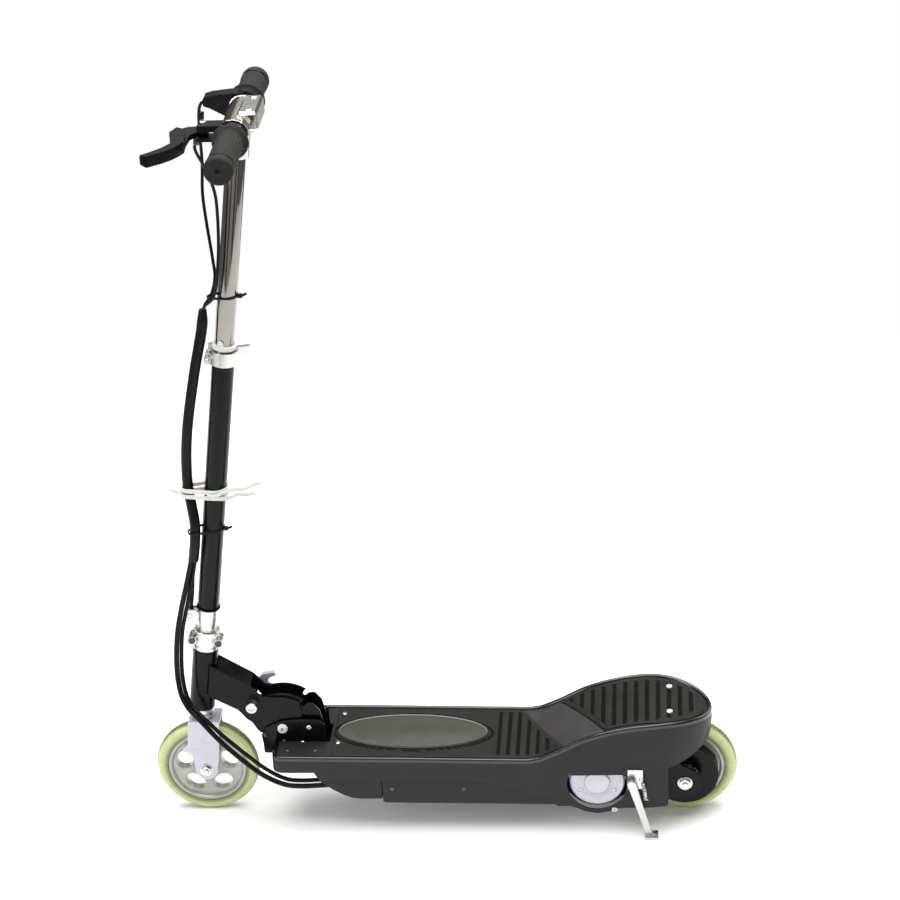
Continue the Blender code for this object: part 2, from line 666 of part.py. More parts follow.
def deck():
    deck_cover()
    floor_mat("front_mat", lambda y: -0.1460, band_front, 0.0570, MAT_LIFT, MAT_THICK, "tread_rubber")
    floor_mat("heel_mat", band_rear, heel_rear, 0.0535, MAT_LIFT, MAT_THICK, "tread_rubber")
    badge_x, half_long, half_wide = -0.0400, 0.1010, 0.0400
    oval = [(badge_x + half_long * math.cos(a), half_wide * math.sin(a))
            for a in (2 * math.pi * step / 40 for step in range(40))]
    floor_z = rim_height(badge_x) - RIM_DEPTH + MAT_LIFT + MAT_THICK
    tilt = Matrix.Rotation(math.atan2(rim_height(-0.12) - rim_height(0.04), 0.16), 4, "Y")
    middle = Vector((badge_x, 0.0, floor_z + 0.0012))
    oval = [(x - badge_x, y) for x, y in oval]
    plate("badge_plate", [oval], 0.0012, 0.0, "badge", turn=tilt, centre=middle)


def tray(name, outline, inner, finish):
    """An open-topped tray cut from a solid side profile."""
    body = plate(name, [outline], 2 * TRAY_HALF, 0.0, finish)
    hollow = plate(name + "_hollow", [inner], 2 * TRAY_HALF - 0.0030, 0.0)
    return cut(body, hollow)


def trays():
    top = 0.0900
    tray("nose_tray",
         [(-0.1615, top), (-0.1615, 0.0815), (-0.1440, 0.0680), (-0.1296, 0.0593), (-0.1190, 0.0553),
          (-0.1097, 0.0542), (-0.0798, 0.0542), (-0.0798, top)],
         [(-0.1600, top + 0.01), (-0.1600, 0.0822), (-0.1430, 0.0692), (-0.1288, 0.0608), (-0.1185, 0.0568),
          (-0.1095, 0.0557), (-0.0813, 0.0557), (-0.0813, top + 0.01)], "black_plastic")
    tray("battery_box",
         [(-0.0790, top), (-0.0790, 0.0500), (-0.0760, 0.0480), (0.0237, 0.0468), (0.1480, 0.0450),
          (0.1505, 0.0470), (0.1505, top)],
         [(-0.0775, top + 0.01), (-0.0775, 0.0508), (-0.0755, 0.0493), (0.0237, 0.0482), (0.1478, 0.0464),
          (0.1490, 0.0474), (0.1490, top + 0.01)], "black_plastic")


def internals():
    """Two lead-acid batteries and the motor controller."""
    for name, x in (("battery_front", -0.0245), ("battery_rear", 0.0790)):
        block = box(name, (0.1010, 0.0880, 0.0600), (x, 0.0, 0.0805), "battery")
        bevel(block, 0.002, 1)
    case = box("motor_controller", (0.0620, 0.0600, 0.0300), (-0.1180, 0.0, 0.0900), "zinc")
    bevel(case, 0.0015, 1)


def side_frames():
    """The two steel side frames: a rail under the deck that widens into the motor and axle arm."""
    axle = (REAR_X, WHEEL_R)
    outline = ([(-0.2150, 0.1005), (-0.2150, 0.1120), (0.1230, 0.1120), (0.1560, 0.1250), (0.2000, 0.1460),
                (0.2450, 0.1560), (0.2850, 0.1540), (0.3020, 0.1180), (0.3170, 0.0980)]
               + arc(axle, 0.0225, 75, -100, 12)
               + [(0.2900, 0.0400), (0.2450, 0.0385)]
               + arc((MOTOR_X, MOTOR_Z), 0.0440, -40, -140, 8)
               + [(0.1640, 0.0600), (0.1600, 0.1005)])
    for side, name in ((-1, "side_frame_left"), (1, "side_frame_right")):
        holes = [circle(axle, 0.0044, 16)]
        if side < 0:
            holes.append(circle((MOTOR_X, MOTOR_Z), MOTOR_R + 0.0005, 40))
        plate(name, [outline] + holes, SIDE_FRAME_T, side * SIDE_FRAME_Y, "black_paint")
    cross = box("front_crossmember", (0.0560, 0.0900, 0.0022), (-0.1865, 0.0, 0.0991), "black_paint")
    bevel(cross, 0.0006, 1)


def rear_axle():
    axle = rod("rear_axle", 0.0040, 0.1080, (REAR_X, 0.0, WHEEL_R), "zinc", Y_AXIS)
    reach = SIDE_FRAME_Y + SIDE_FRAME_T / 2 + GAP
    for side in (-1, 1):
        washer = rod(f"rear_washer_{side}", 0.0105, 0.0012, (REAR_X, side * (reach + 0.0006), WHEEL_R),
                     turn=Y_AXIS, sides=24)
        nut = rod(f"rear_nut_{side}", 0.0084, 0.0060, (REAR_X, side * (reach + 0.0040), WHEEL_R),
                  turn=Y_AXIS, sides=6)
        join(axle, washer, nut)


def drive():
    """Motor, its mount, the toothed pulley on its shaft and the belt to the wheel."""
    profile = [(0.0, 0.0318), (0.0280, 0.0318), (MOTOR_R - 0.0015, 0.0310), (MOTOR_R, 0.0290),
               (MOTOR_R, -0.0280), (MOTOR_R - 0.0020, -0.0310), (0.0170, -0.0318), (0.0160, -0.0338),
               (0.0, -0.0338)]
    turned("motor", profile, (MOTOR_X, MOTOR_Y, MOTOR_Z), "silver_paint", Y_AXIS, 32)
    plate("motor_mount", [circle((MOTOR_X, MOTOR_Z), 0.0420, 28), circle((MOTOR_X, MOTOR_Z), 0.0090, 16)],
          0.0030, MOTOR_Y + 0.0337, "black_paint")
    shaft = rod("motor_pulley", PULLEY_SMALL_R, 0.0132, (MOTOR_X, BELT_Y, MOTOR_Z), "zinc", Y_AXIS, 16)
    spindle = rod("motor_spindle", 0.0030, 0.0285, (MOTOR_X, 0.0182, MOTOR_Z), turn=Y_AXIS, sides=12)
    flange = rod("motor_flange", 0.0095, 0.0012, (MOTOR_X, BELT_Y + 0.0074, MOTOR_Z), turn=Y_AXIS, sides=16)
    join(shaft, spindle, flange)
    belt()


def belt():
    """The toothed belt as a closed band round both pulleys."""
    small, large = (MOTOR_X, MOTOR_Z), (REAR_X, WHEEL_R)
    distance = math.dist(small, large)
    heading = math.degrees(math.atan2(large[1] - small[1], large[0] - small[0]))

    def loop(small_r, large_r):
        wrap = math.degrees(math.acos((small_r - large_r) / distance))
        return (arc(large, large_r, heading - wrap, heading + wrap, 30)
                + arc(small, small_r, heading + wrap, heading + 360 - wrap, 10))

    inner = GAP
    outer = GAP + BELT_THICK
    plate("drive_belt",
          [loop(PULLEY_SMALL_R + outer, PULLEY_LARGE_R + outer), loop(PULLEY_SMALL_R + inner, PULLEY_LARGE_R + inner)],
          0.0120, BELT_Y, "belt")


def band_brake():
    """The band round the drum, with its anchor ear, and the arm that the cable pulls."""
    band = ring("brake_band", 0.0446, 0.0412, 0.0130, (REAR_X, BRAKE_Y, WHEEL_R), "black_paint", Y_AXIS, 28)
    ear_at = Vector((REAR_X + 0.0149, BRAKE_Y, WHEEL_R + 0.0487))
    ear = box("brake_ear", (0.0180, 0.0120, 0.0120), ear_at, turn=Matrix.Rotation(math.radians(-73), 4, "Y"))
    guard = turned("brake_guard", [(0.0446, -0.0065), (0.0446, -0.0090), (0.0180, -0.0090), (0.0180, -0.0075),
                                   (0.0425, -0.0075), (0.0430, -0.0065)],
                   (REAR_X, BRAKE_Y, WHEEL_R), turn=Y_AXIS, steps=28)
    join(band, guard, ear)
    arm_at = ear_at + Vector((-0.0050, -0.0120, 0.0003))
    arm = rod("brake_arm", 0.0050, 0.0070, arm_at, "black_paint", Y_AXIS, 16)
    lever = plate("brake_arm_lever",
                  [[(arm_at.x + dx, arm_at.z + dz) for dx, dz in
                    ((-0.0040, 0.0030), (-0.0300, 0.0085), (-0.0320, 0.0045), (-0.0300, 0.0010), (-0.0030, -0.0040),
                     (0.0040, -0.0030), (0.0040, 0.0030))]], 0.0030, arm_at.y - 0.0010)
    join(arm, lever)


# ---------------------------------------------------------------- kickstand, switch and socket
def kickstand():
    bracket = box("kickstand_bracket", (0.0200, 0.0024, 0.0300), (STAND_X + 0.0050, -0.0665, STAND_Z + 0.0020),
                  "zinc")
    pin = rod("kickstand_pin", 0.0030, 0.0100, (STAND_X, -0.0715, STAND_Z), turn=Y_AXIS, sides=16)
    head = rod("kickstand_pin_head", 0.0052, 0.0018, (STAND_X, -0.0758, STAND_Z), turn=Y_AXIS, sides=16)
    peg = rod("kickstand_peg", 0.0022, 0.0030, (STAND_X + 0.0125, -0.0680, STAND_Z + 0.0020), turn=Y_AXIS, sides=12)
    join(bracket, pin, head, peg)
    outline = (arc((STAND_X, STAND_Z), 0.0058, 30, 195, 7)
               + [(0.2590, 0.0440), (0.2690, 0.0080), (0.2680, 0.0), (0.2860, 0.0), (0.2850, 0.0045),
                  (0.2780, 0.0085), (0.2672, 0.0480)])
    leg = plate("kickstand_leg", [outline], 0.0046, STAND_Y - 0.0012, "zinc")
    foot = box("kickstand_foot", (0.0175, 0.0170, 0.0040), (0.2770, STAND_Y - 0.0005, 0.0020))
    hole = rod("kickstand_hole", 0.0034, 0.02, (STAND_X, STAND_Y, STAND_Z), turn=Y_AXIS, sides=16)
    join(leg, foot)
    cut(leg, hole)
    tube("kickstand_spring", smooth_path([(0.2680, -0.0705, 0.0850), (0.2705, -0.0725, 0.0790),
                                          (0.2708, -0.0735, 0.0700), (0.2706, -0.0740, 0.0600)], 0.006),
         0.0032, "zinc")


def electrics():
    """The rocker switch and the charging socket on the rider's right."""
    rocker = box("power_rocker", (0.0150, 0.0060, 0.0100), (SWITCH_X, DECK_HALF + 0.0012, SWITCH_Z), "switch_red")
    bevel(rocker, 0.0010, 1)
    socket = rod("charge_socket", 0.0080, 0.0040, (0.0250, DECK_HALF + 0.0023, 0.1010), "black_plastic", Y_AXIS, 24)
    cut(socket, ring("charge_socket_ring", 0.0058, 0.0030, 0.0050, (0.0250, DECK_HALF + 0.0045, 0.1010),
                     turn=Y_AXIS, steps=24))


# ---------------------------------------------------------------- handlebar
BAR_CENTRE = stem_point(BAR_Z)


def bar_point(y, dx=0.0, dz=0.0):
    return Vector((BAR_CENTRE.x + dx, y, BAR_Z + dz))


def handlebar():
    centre, length = stem_rod_span(0.6200, BAR_Z - 0.0120)
    rod("riser_tube", RISER_R, length, centre, "chrome", STEM_AXIS, 36)
    rod("handlebar_tube", BAR_R, 2 * BAR_HALF - 0.0120, bar_point(0.0), "chrome", Y_AXIS, 32)
    t_joint()
    grip("left_grip", -1)
    grip("throttle_grip", 1)
    brake_lever()
    throttle_housing()


def t_joint():
    """The cast T that clamps the handlebar on the riser, with a bolted lug at the back."""
    body = rod("t_joint", 0.0175, 0.0900, bar_point(0.0080), "chrome", Y_AXIS, 28)
    centre, length = stem_rod_span(BAR_Z - 0.0400, BAR_Z - 0.0050)
    socket = rod("t_socket", 0.0158, length, centre, turn=STEM_AXIS, sides=24)
    lug = box("t_lug", (0.0240, 0.0640, 0.0240), bar_point(0.0120, 0.0150, 0.0085))
    bevel(lug, 0.0030, 1)
    join(body, socket, lug)
    bore = rod("t_bore", BAR_R + GAP, 0.1200, bar_point(0.0), turn=Y_AXIS, sides=28)
    centre, length = stem_rod_span(BAR_Z - 0.0600, BAR_Z - 0.0116)
    socket_bore = rod("t_socket_bore", RISER_R + GAP, length, centre, turn=STEM_AXIS, sides=24)
    cut(body, bore, socket_bore)


def grip(name, side):
    """A ribbed foam-rubber grip with a flange at its inner end and a closed outer end."""
    inner, outer = (0.0610, BAR_HALF) if side < 0 else (0.0790, BAR_HALF)
    half = (outer - inner) / 2
    bore = BAR_R + GAP
    profile = [(0.0, half), (0.0130, half), (0.0165, half - 0.0015), (0.0176, half - 0.0050),
               (GRIP_R, half - 0.0110), (GRIP_R, -half + 0.0080), (0.0222, -half + 0.0045),
               (0.0215, -half), (bore, -half), (bore, half - 0.0050), (0.0, half - 0.0050)]
    turn = Y_AXIS if side > 0 else Y_AXIS @ Matrix.Rotation(math.pi, 4, "X")
    turned(name, profile, bar_point(side * (inner + half)), "grip_foam", turn, 24)


LEVER_PIVOT = bar_point(-0.0430, -0.0340, 0.0130)


def brake_lever():
    body = rod("brake_bracket", 0.0165, 0.0180, bar_point(-0.0490), "black_paint", Y_AXIS, 24)
    nose = box("brake_nose", (0.0300, 0.0200, 0.0090), bar_point(-0.0480, -0.0240, 0.0140))
    lower = box("brake_nose_lower", (0.0300, 0.0200, 0.0050), bar_point(-0.0480, -0.0240, 0.0010))
    bore = rod("brake_bracket_bore", BAR_R + GAP, 0.0400, bar_point(-0.0490), turn=Y_AXIS, sides=24)
    gap = box("brake_nose_gap", (0.0400, 0.0400, 0.0078), bar_point(-0.0480, -0.0380, 0.0065))
    pivot_pin = rod("brake_pivot_pin", 0.0028, 0.0220, LEVER_PIVOT + Vector((0.0, 0.0, -0.0045)), sides=12)
    join(body, nose, lower)
    cut(body, bore, gap)
    join(body, pivot_pin)
    elbow = [(-0.0310, -0.0020), (-0.0370, -0.0180), (-0.0350, -0.0300), (-0.0270, -0.0420), (-0.0280, -0.0520),
             (-0.0380, -0.0700), (-0.0520, -0.0860), (-0.0595, -0.0925), (-0.0575, -0.0980), (-0.0500, -0.0965),
             (-0.0360, -0.0850), (-0.0260, -0.0740), (-0.0200, -0.0640), (-0.0150, -0.0520)]
    outline = ([(0.0060, 0.0080), (-0.0060, 0.0100), (-0.0200, 0.0080)] + elbow
               + [(-0.0140, -0.0360), (-0.0130, -0.0200), (-0.0040, -0.0080), (0.0060, -0.0060)])
    lever = plate("brake_lever", [outline, circle((0.0, 0.0), 0.0032, 12)], 0.0066, 0.0, "black_paint",
                  turn=Matrix.Identity(4), centre=LEVER_PIVOT + Vector((0.0, 0.0, -0.0065)))
    blade = plate("brake_blade", [elbow + [(-0.0160, -0.0360), (-0.0170, -0.0200), (-0.0210, -0.0080)]],
                  0.0140, turn=Matrix.Identity(4), centre=LEVER_PIVOT + Vector((0.0, 0.0, -0.0065)))
    join(lever, blade)
    # the blade's square end is chamfered above and below
    end = LEVER_PIVOT + Vector((-0.0575, -0.0980, -0.0065))
    for side in (-1, 1):
        turn = Matrix.Rotation(math.radians(226), 4, "Z") @ Matrix.Rotation(math.radians(-45 * side), 4, "Y")
        outward = turn @ Vector((1.0, 0.0, 0.0))
        corner = end + Vector((0.0, 0.0, 0.0070 * side))
        cut(lever, box(f"brake_blade_chamfer_{side}", (0.0200, 0.0300, 0.0200), corner + outward * 0.0068, turn=turn))


def throttle_housing():
    """The twist throttle's fixed housing, whose nose holds the wire's exit."""
    body = rod("throttle_housing", 0.0195, 0.0180, bar_point(0.0690), "black_plastic", Y_AXIS, 28)
    side = [(0.0, 0.0185), (-0.0180, 0.0178), (-0.0400, 0.0155), (-0.0490, 0.0130), (-0.0515, 0.0080),
            (-0.0500, 0.0020), (-0.0430, -0.0005), (-0.0330, -0.0060), (-0.0150, -0.0160), (0.0, -0.0180)]
    nose = plate("throttle_nose", [[(BAR_CENTRE.x + dx, BAR_Z + dz) for dx, dz in side]], 0.0190, 0.0660)
    bore = rod("throttle_bore", BAR_R + GAP, 0.0400, bar_point(0.0690), turn=Y_AXIS, sides=28)
    join(body, nose)
    cut(body, bore)


# ---------------------------------------------------------------- cables
def cables():
    """Every run is held at both ends; each stretch belongs to the pieces that it joins."""
    tie = [(-0.2510, -0.0110, 0.7640), (-0.2545, 0.0020, 0.7640)]
    tube("throttle_wire", smooth_path([
        (-0.2548, 0.0560, 0.9860), (-0.2590, 0.0560, 0.9790), (-0.2585, 0.0490, 0.9560), (-0.2560, 0.0340, 0.9250),
        (-0.2570, 0.0220, 0.8900), (-0.2540, 0.0130, 0.8550), (-0.2500, 0.0080, 0.8100), (-0.2490, 0.0060, 0.7850),
        tie[1], (-0.2680, 0.0040, 0.7470)], 0.014), 0.0022, "cable")
    tube("brake_wire", smooth_path([
        (-0.2480, -0.0350, 0.9760), (-0.2500, -0.0340, 0.9660), (-0.2420, -0.0260, 0.9400), (-0.2345, -0.0200, 0.9080),
        (-0.2340, -0.0170, 0.8770), (-0.2369, -0.0165, 0.8320), (-0.2440, -0.0150, 0.7850),
        tie[0], (-0.2650, -0.0035, 0.7470)], 0.014), 0.0022, "cable")
    tube("cable_sleeve", smooth_path([
        (-0.2670, 0.0, 0.7440), (-0.2710, 0.0, 0.7170), (-0.2830, -0.0010, 0.6690), (-0.2925, -0.0020, 0.6270),
        (-0.3010, -0.0020, 0.5850), (-0.3070, -0.0010, 0.5420), (-0.3092, -0.0010, 0.4990), (-0.3060, -0.0060, 0.4700),
        (-0.3035, -0.0110, 0.4450), (-0.3062, -0.0120, 0.4180), (-0.3110, -0.0080, 0.3930)], 0.020), 0.0070, "cable")
    tube("cable_mid", smooth_path([
        (-0.3120, -0.0080, 0.3890), (-0.3200, -0.0080, 0.3600), (-0.3300, -0.0080, 0.3230), (-0.3400, -0.0100, 0.2850),
        (-0.3440, -0.0140, 0.2500), (-0.3450, -0.0200, 0.2200), (-0.3400, -0.0280, 0.1960),
        (-0.3320, -0.0340, 0.1800)], 0.014), 0.0060, "cable")
    tube("cable_lower", smooth_path([
        (-0.3300, -0.0350, 0.1765), (-0.3140, -0.0410, 0.1640), (-0.2915, -0.0460, 0.1390), (-0.2660, -0.0500, 0.1160),
        (-0.2380, -0.0530, 0.0915), (-0.2120, -0.0550, 0.0780), (-0.1900, -0.0560, 0.0750),
        (-0.1640, -0.0560, 0.0760)], 0.014), 0.0060, "cable")


front_wheel()
rear_wheel()
fork()
steering_column()
neck()
fold_base()
latch()
deck()
trays()
internals()
side_frames()
rear_axle()
drive()
band_brake()
kickstand()
electrics()
handlebar()
cables()
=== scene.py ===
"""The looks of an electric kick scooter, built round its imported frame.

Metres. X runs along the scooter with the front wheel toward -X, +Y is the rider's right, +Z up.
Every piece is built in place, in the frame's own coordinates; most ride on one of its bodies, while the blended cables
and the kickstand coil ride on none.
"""

import json
from math import acos, atan2, cos, degrees, pi, radians, sin, sqrt, tan

import bmesh
import bpy
from mathutils import Matrix, Vector

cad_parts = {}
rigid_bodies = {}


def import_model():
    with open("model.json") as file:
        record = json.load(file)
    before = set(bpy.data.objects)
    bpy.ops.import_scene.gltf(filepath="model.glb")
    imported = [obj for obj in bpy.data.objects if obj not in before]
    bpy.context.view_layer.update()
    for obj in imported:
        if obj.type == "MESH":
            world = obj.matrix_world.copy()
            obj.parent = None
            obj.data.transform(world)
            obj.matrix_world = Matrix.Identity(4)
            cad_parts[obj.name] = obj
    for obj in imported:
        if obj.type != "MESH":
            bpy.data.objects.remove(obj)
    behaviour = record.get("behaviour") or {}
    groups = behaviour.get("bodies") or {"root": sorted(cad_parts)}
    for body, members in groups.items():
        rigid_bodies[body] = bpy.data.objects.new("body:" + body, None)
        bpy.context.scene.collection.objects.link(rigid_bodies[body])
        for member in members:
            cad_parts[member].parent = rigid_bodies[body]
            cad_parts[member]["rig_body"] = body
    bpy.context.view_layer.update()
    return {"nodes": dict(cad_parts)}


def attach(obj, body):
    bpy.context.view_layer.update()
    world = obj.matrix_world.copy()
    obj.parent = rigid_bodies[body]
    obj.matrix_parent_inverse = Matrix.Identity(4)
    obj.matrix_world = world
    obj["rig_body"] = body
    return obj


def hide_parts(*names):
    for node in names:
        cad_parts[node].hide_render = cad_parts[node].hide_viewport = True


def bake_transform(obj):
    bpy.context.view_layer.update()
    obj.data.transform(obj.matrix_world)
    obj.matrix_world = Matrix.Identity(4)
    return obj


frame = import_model()


def spot(x, y, z):
    """A place or a step given in millimetres."""
    return Vector((x, y, z)) / 1000


# ---------------------------------------------------------------- sizes shared with the frame
FRONT_AXLE = spot(-322.3, 0, 70)
REAR_AXLE = spot(322.3, 0, 70)
LEAN = radians(8.3)
STEM_UP = Vector((sin(LEAN), 0.0, cos(LEAN)))
BAR = spot(-202.21, 0, 985.7)
GRIP_R = 0.0168
PIVOT = spot(-212.4, 0, 139.8)
MOTOR = spot(206.4, -28.5, 78.9)
MOTOR_R = 0.0369
DECK_FRONT = -0.2245
DECK_HALF = 0.065
HEEL_START = 0.265
HEEL_END = 0.359
RIM_DEPTH = 0.003
SKIN = 0.0022
Y = Vector((0.0, 1.0, 0.0))
UP = Vector((0.0, 0.0, 1.0))
SIDES = ((-1, "left"), (1, "right"))
SIDE_VIEW = Matrix.Rotation(radians(90), 4, "X")
WHITE = (1.0, 1.0, 1.0)


def mm(*points):
    """Points given in millimetres, as metres."""
    return [tuple(value / 1000 for value in point) for point in points]


def stem_point(z):
    """The point of the stem's centre line at a height."""
    return Vector((-0.3358 + (z - 0.07) * tan(LEAN), 0.0, z))


# ---------------------------------------------------------------- camera, light and floor
def camera():
    yaw, pitch, roll = radians(5.246), radians(27.315), radians(-3.096)
    forward = Vector((-sin(yaw) * cos(pitch), cos(yaw) * cos(pitch), -sin(pitch)))
    right = Vector((cos(yaw), sin(yaw), 0.0))
    up = right.cross(forward)
    right, up = (cos(roll) * right + sin(roll) * up, cos(roll) * up - sin(roll) * right)
    data = bpy.data.cameras.new("camera")
    data.sensor_width = 36.0
    data.lens = 100.6
    obj = linked("camera", data)
    turn = Matrix((right, up, -forward)).transposed().to_4x4()
    obj.matrix_world = Matrix.Translation(Vector((0.2879, -2.8091, 2.0017))) @ turn
    bpy.context.scene.camera = obj


def linked(name, data):
    obj = bpy.data.objects.new(name, data)
    bpy.context.scene.collection.objects.link(obj)
    return obj


def area_light(name, place, target, size, watts):
    data = bpy.data.lights.new(name, "AREA")
    data.shape = "RECTANGLE"
    data.size, data.size_y = size
    data.energy = watts
    obj = linked(name, data)
    direction = Vector(target) - Vector(place)
    obj.matrix_world = Matrix.Translation(place) @ direction.to_track_quat("-Z", "Y").to_matrix().to_4x4()


def fill(node, **inputs):
    """Sets constants on a node's inputs; an underscore in a name stands for a space."""
    for socket, value in inputs.items():
        node.inputs[socket.replace("_", " ")].default_value = value
    return node


def add(tree, kind, operation=None, **inputs):
    node = tree.nodes.new("ShaderNode" + kind)
    if operation:
        node.operation = operation
    return fill(node, **inputs)


def add_ramp(tree, first, *between, last):
    """A colour ramp through (position, colour) stops."""
    ramp = add(tree, "ValToRGB")
    stops = ramp.color_ramp.elements
    for stop, (position, colour) in zip(stops, (first, last)):
        stop.position, stop.color = position, (*colour, 1.0)
    for position, colour in between:
        stops.new(position).color = (*colour, 1.0)
    return ramp


def wire(tree, *runs):
    """Links each (node, output, node, input)."""
    for source, output, target, socket in runs:
        tree.links.new(source.outputs[output], target.inputs[socket])


def studio():
    """A white backdrop for the camera; reflections see a softer room with darker and lighter zones."""
    bpy.context.scene.view_settings.view_transform = "Standard"
    world = bpy.data.worlds.new("studio")
    bpy.context.scene.world = world
    world.use_nodes = True
    tree = world.node_tree
    room = fill(tree.nodes["Background"], Strength=0.52)
    backdrop = add(tree, "Background", Color=(*WHITE, 1.0), Strength=1.0)
    place = add(tree, "TexCoord")
    zones = add(tree, "TexNoise", Scale=3.1, Detail=1.0)
    apart = add(tree, "SeparateXYZ")
    sideways = add(tree, "Math", "ABSOLUTE")
    wander = add(tree, "Math", "MULTIPLY_ADD")
    wander.inputs[1].default_value = 0.3
    ramp = add_ramp(tree, (0.36, WHITE), (0.44, (0.3, 0.24, 0.18)), (0.58, (0.07, 0.055, 0.045)),
            (0.66, (0.8, 0.79, 0.77)), (0.76, WHITE), (0.86, (0.2, 0.18, 0.16)), last=(0.98, (0.45, 0.44, 0.43)))
    rays = add(tree, "LightPath")
    mix = add(tree, "MixShader")
    wire(tree, (place, "Generated", zones, "Vector"), (place, "Generated", apart, "Vector"),
         (apart, "X", sideways, 0), (zones, "Fac", wander, 0), (sideways, "Value", wander, 2),
         (wander, "Value", ramp, "Fac"), (ramp, "Color", room, "Color"),
         (rays, "Is Camera Ray", mix, "Fac"), (room, "Background", mix, 1), (backdrop, "Background", mix, 2),
         (mix, "Shader", tree.nodes["World Output"], "Surface"))
    area_light("overhead", (0.1, 0.1, 2.7), (0.0, 0.1, 0.2), (3.4, 3.0), 150)
    area_light("left_front", (-2.2, -1.9, 1.7), (-0.1, 0.0, 0.3), (1.2, 1.6), 30)
    area_light("right_back", (1.9, 1.8, 1.5), (0.0, 0.0, 0.3), (1.2, 1.2), 16)
    long, wide = 2.2, 1.5
    floor = mesh_object("studio_floor", [(-long, -wide, 0), (long, -wide, 0), (long, wide, 0), (-long, wide, 0)],
            [(0, 1, 2, 3)])
    surface = bpy.data.materials.new("studio_floor")
    surface.use_nodes = True
    fill(surface.node_tree.nodes["Principled BSDF"], Base_Color=(0.95, 0.95, 0.95, 1.0), Roughness=0.9,
         Specular_IOR_Level=0.1, Emission_Color=(*WHITE, 1.0), Emission_Strength=0.06)
    floor.data.materials.append(surface)


# ---------------------------------------------------------------- materials
MATERIALS = {}


def finish(name, colour, roughness, metallic=0.0, coat=0.0, spread=0.15, blotch=45.0, rough_spread=0.08, grain=900.0,
        bump=0.04, stretch=(1.0, 1.0, 1.0), **sockets):
    """A procedural surface: blotchy colour and gloss at one scale, a fine grain in relief at another."""
    surface = bpy.data.materials.new(name)
    surface.use_nodes = True
    tree = surface.node_tree
    shader = fill(tree.nodes["Principled BSDF"], Metallic=metallic, Coat_Weight=coat, Coat_Roughness=0.12, **sockets)
    place = add(tree, "TexCoord")
    mapping = add(tree, "Mapping", Scale=stretch)
    patches = add(tree, "TexNoise", Scale=blotch, Detail=4.0)
    low, high = 0.3, 0.7
    ramp = add_ramp(tree, (low, [c * (1 - spread) for c in colour]), last=(high, [min(1.0,
            c * (1 + spread)) for c in colour]))
    gloss = add(tree, "MapRange", From_Min=low, From_Max=high, To_Min=max(0.02, roughness - rough_spread),
            To_Max=min(1.0, roughness + rough_spread))
    fine = add(tree, "TexNoise", Scale=grain, Detail=2.0)
    relief = add(tree, "Bump", Strength=bump, Distance=0.0004)
    wire(tree, (place, "Object", mapping, "Vector"), (mapping, "Vector", patches, "Vector"),
         (patches, "Fac", ramp, "Fac"), (ramp, "Color", shader, "Base Color"), (patches, "Fac", gloss, "Value"),
         (gloss, "Result", shader, "Roughness"), (mapping, "Vector", fine, "Vector"),
         (fine, "Fac", relief, "Height"), (relief, "Normal", shader, "Normal"))
    MATERIALS[name] = surface
    return surface


def ringed_tyre(name, axle):
    """Clear urethane: smoky near the hub, pale lime in the tread, and a thin darker line at the shoulder, which is
    painted shade where the rounded tread turns away.
    """
    surface = finish(name, (0.5, 0.56, 0.26), 0.24, spread=0.06, grain=350.0, bump=0.03, Transmission_Weight=0.08,
            IOR=1.45)
    tree = surface.node_tree
    place = add(tree, "TexCoord")
    flat = add(tree, "VectorMath", "MULTIPLY")
    flat.inputs[1].default_value = (1.0, 0.0, 1.0)
    away = add(tree, "VectorMath", "DISTANCE")
    away.inputs[1].default_value = (axle.x, 0.0, axle.z)
    reach = add(tree, "MapRange", From_Min=0.05, From_Max=0.07)
    # the last two stops, darker toward the outer edge, are painted shade on the rounded tread
    ramp = add_ramp(tree, (0.1, (0.13, 0.14, 0.08)), (0.34, (0.27, 0.3, 0.15)), (0.44, (0.48, 0.53, 0.23)),
            (0.86, (0.6, 0.66, 0.33)), (0.94, (0.22, 0.25, 0.1)), last=(1.0, (0.12, 0.13, 0.05)))
    wire(tree, (place, "Object", flat, 0), (flat, "Vector", away, 0), (away, "Value", reach, "Value"),
         (reach, "Result", ramp, "Fac"), (ramp, "Color", tree.nodes["Principled BSDF"], "Base Color"))


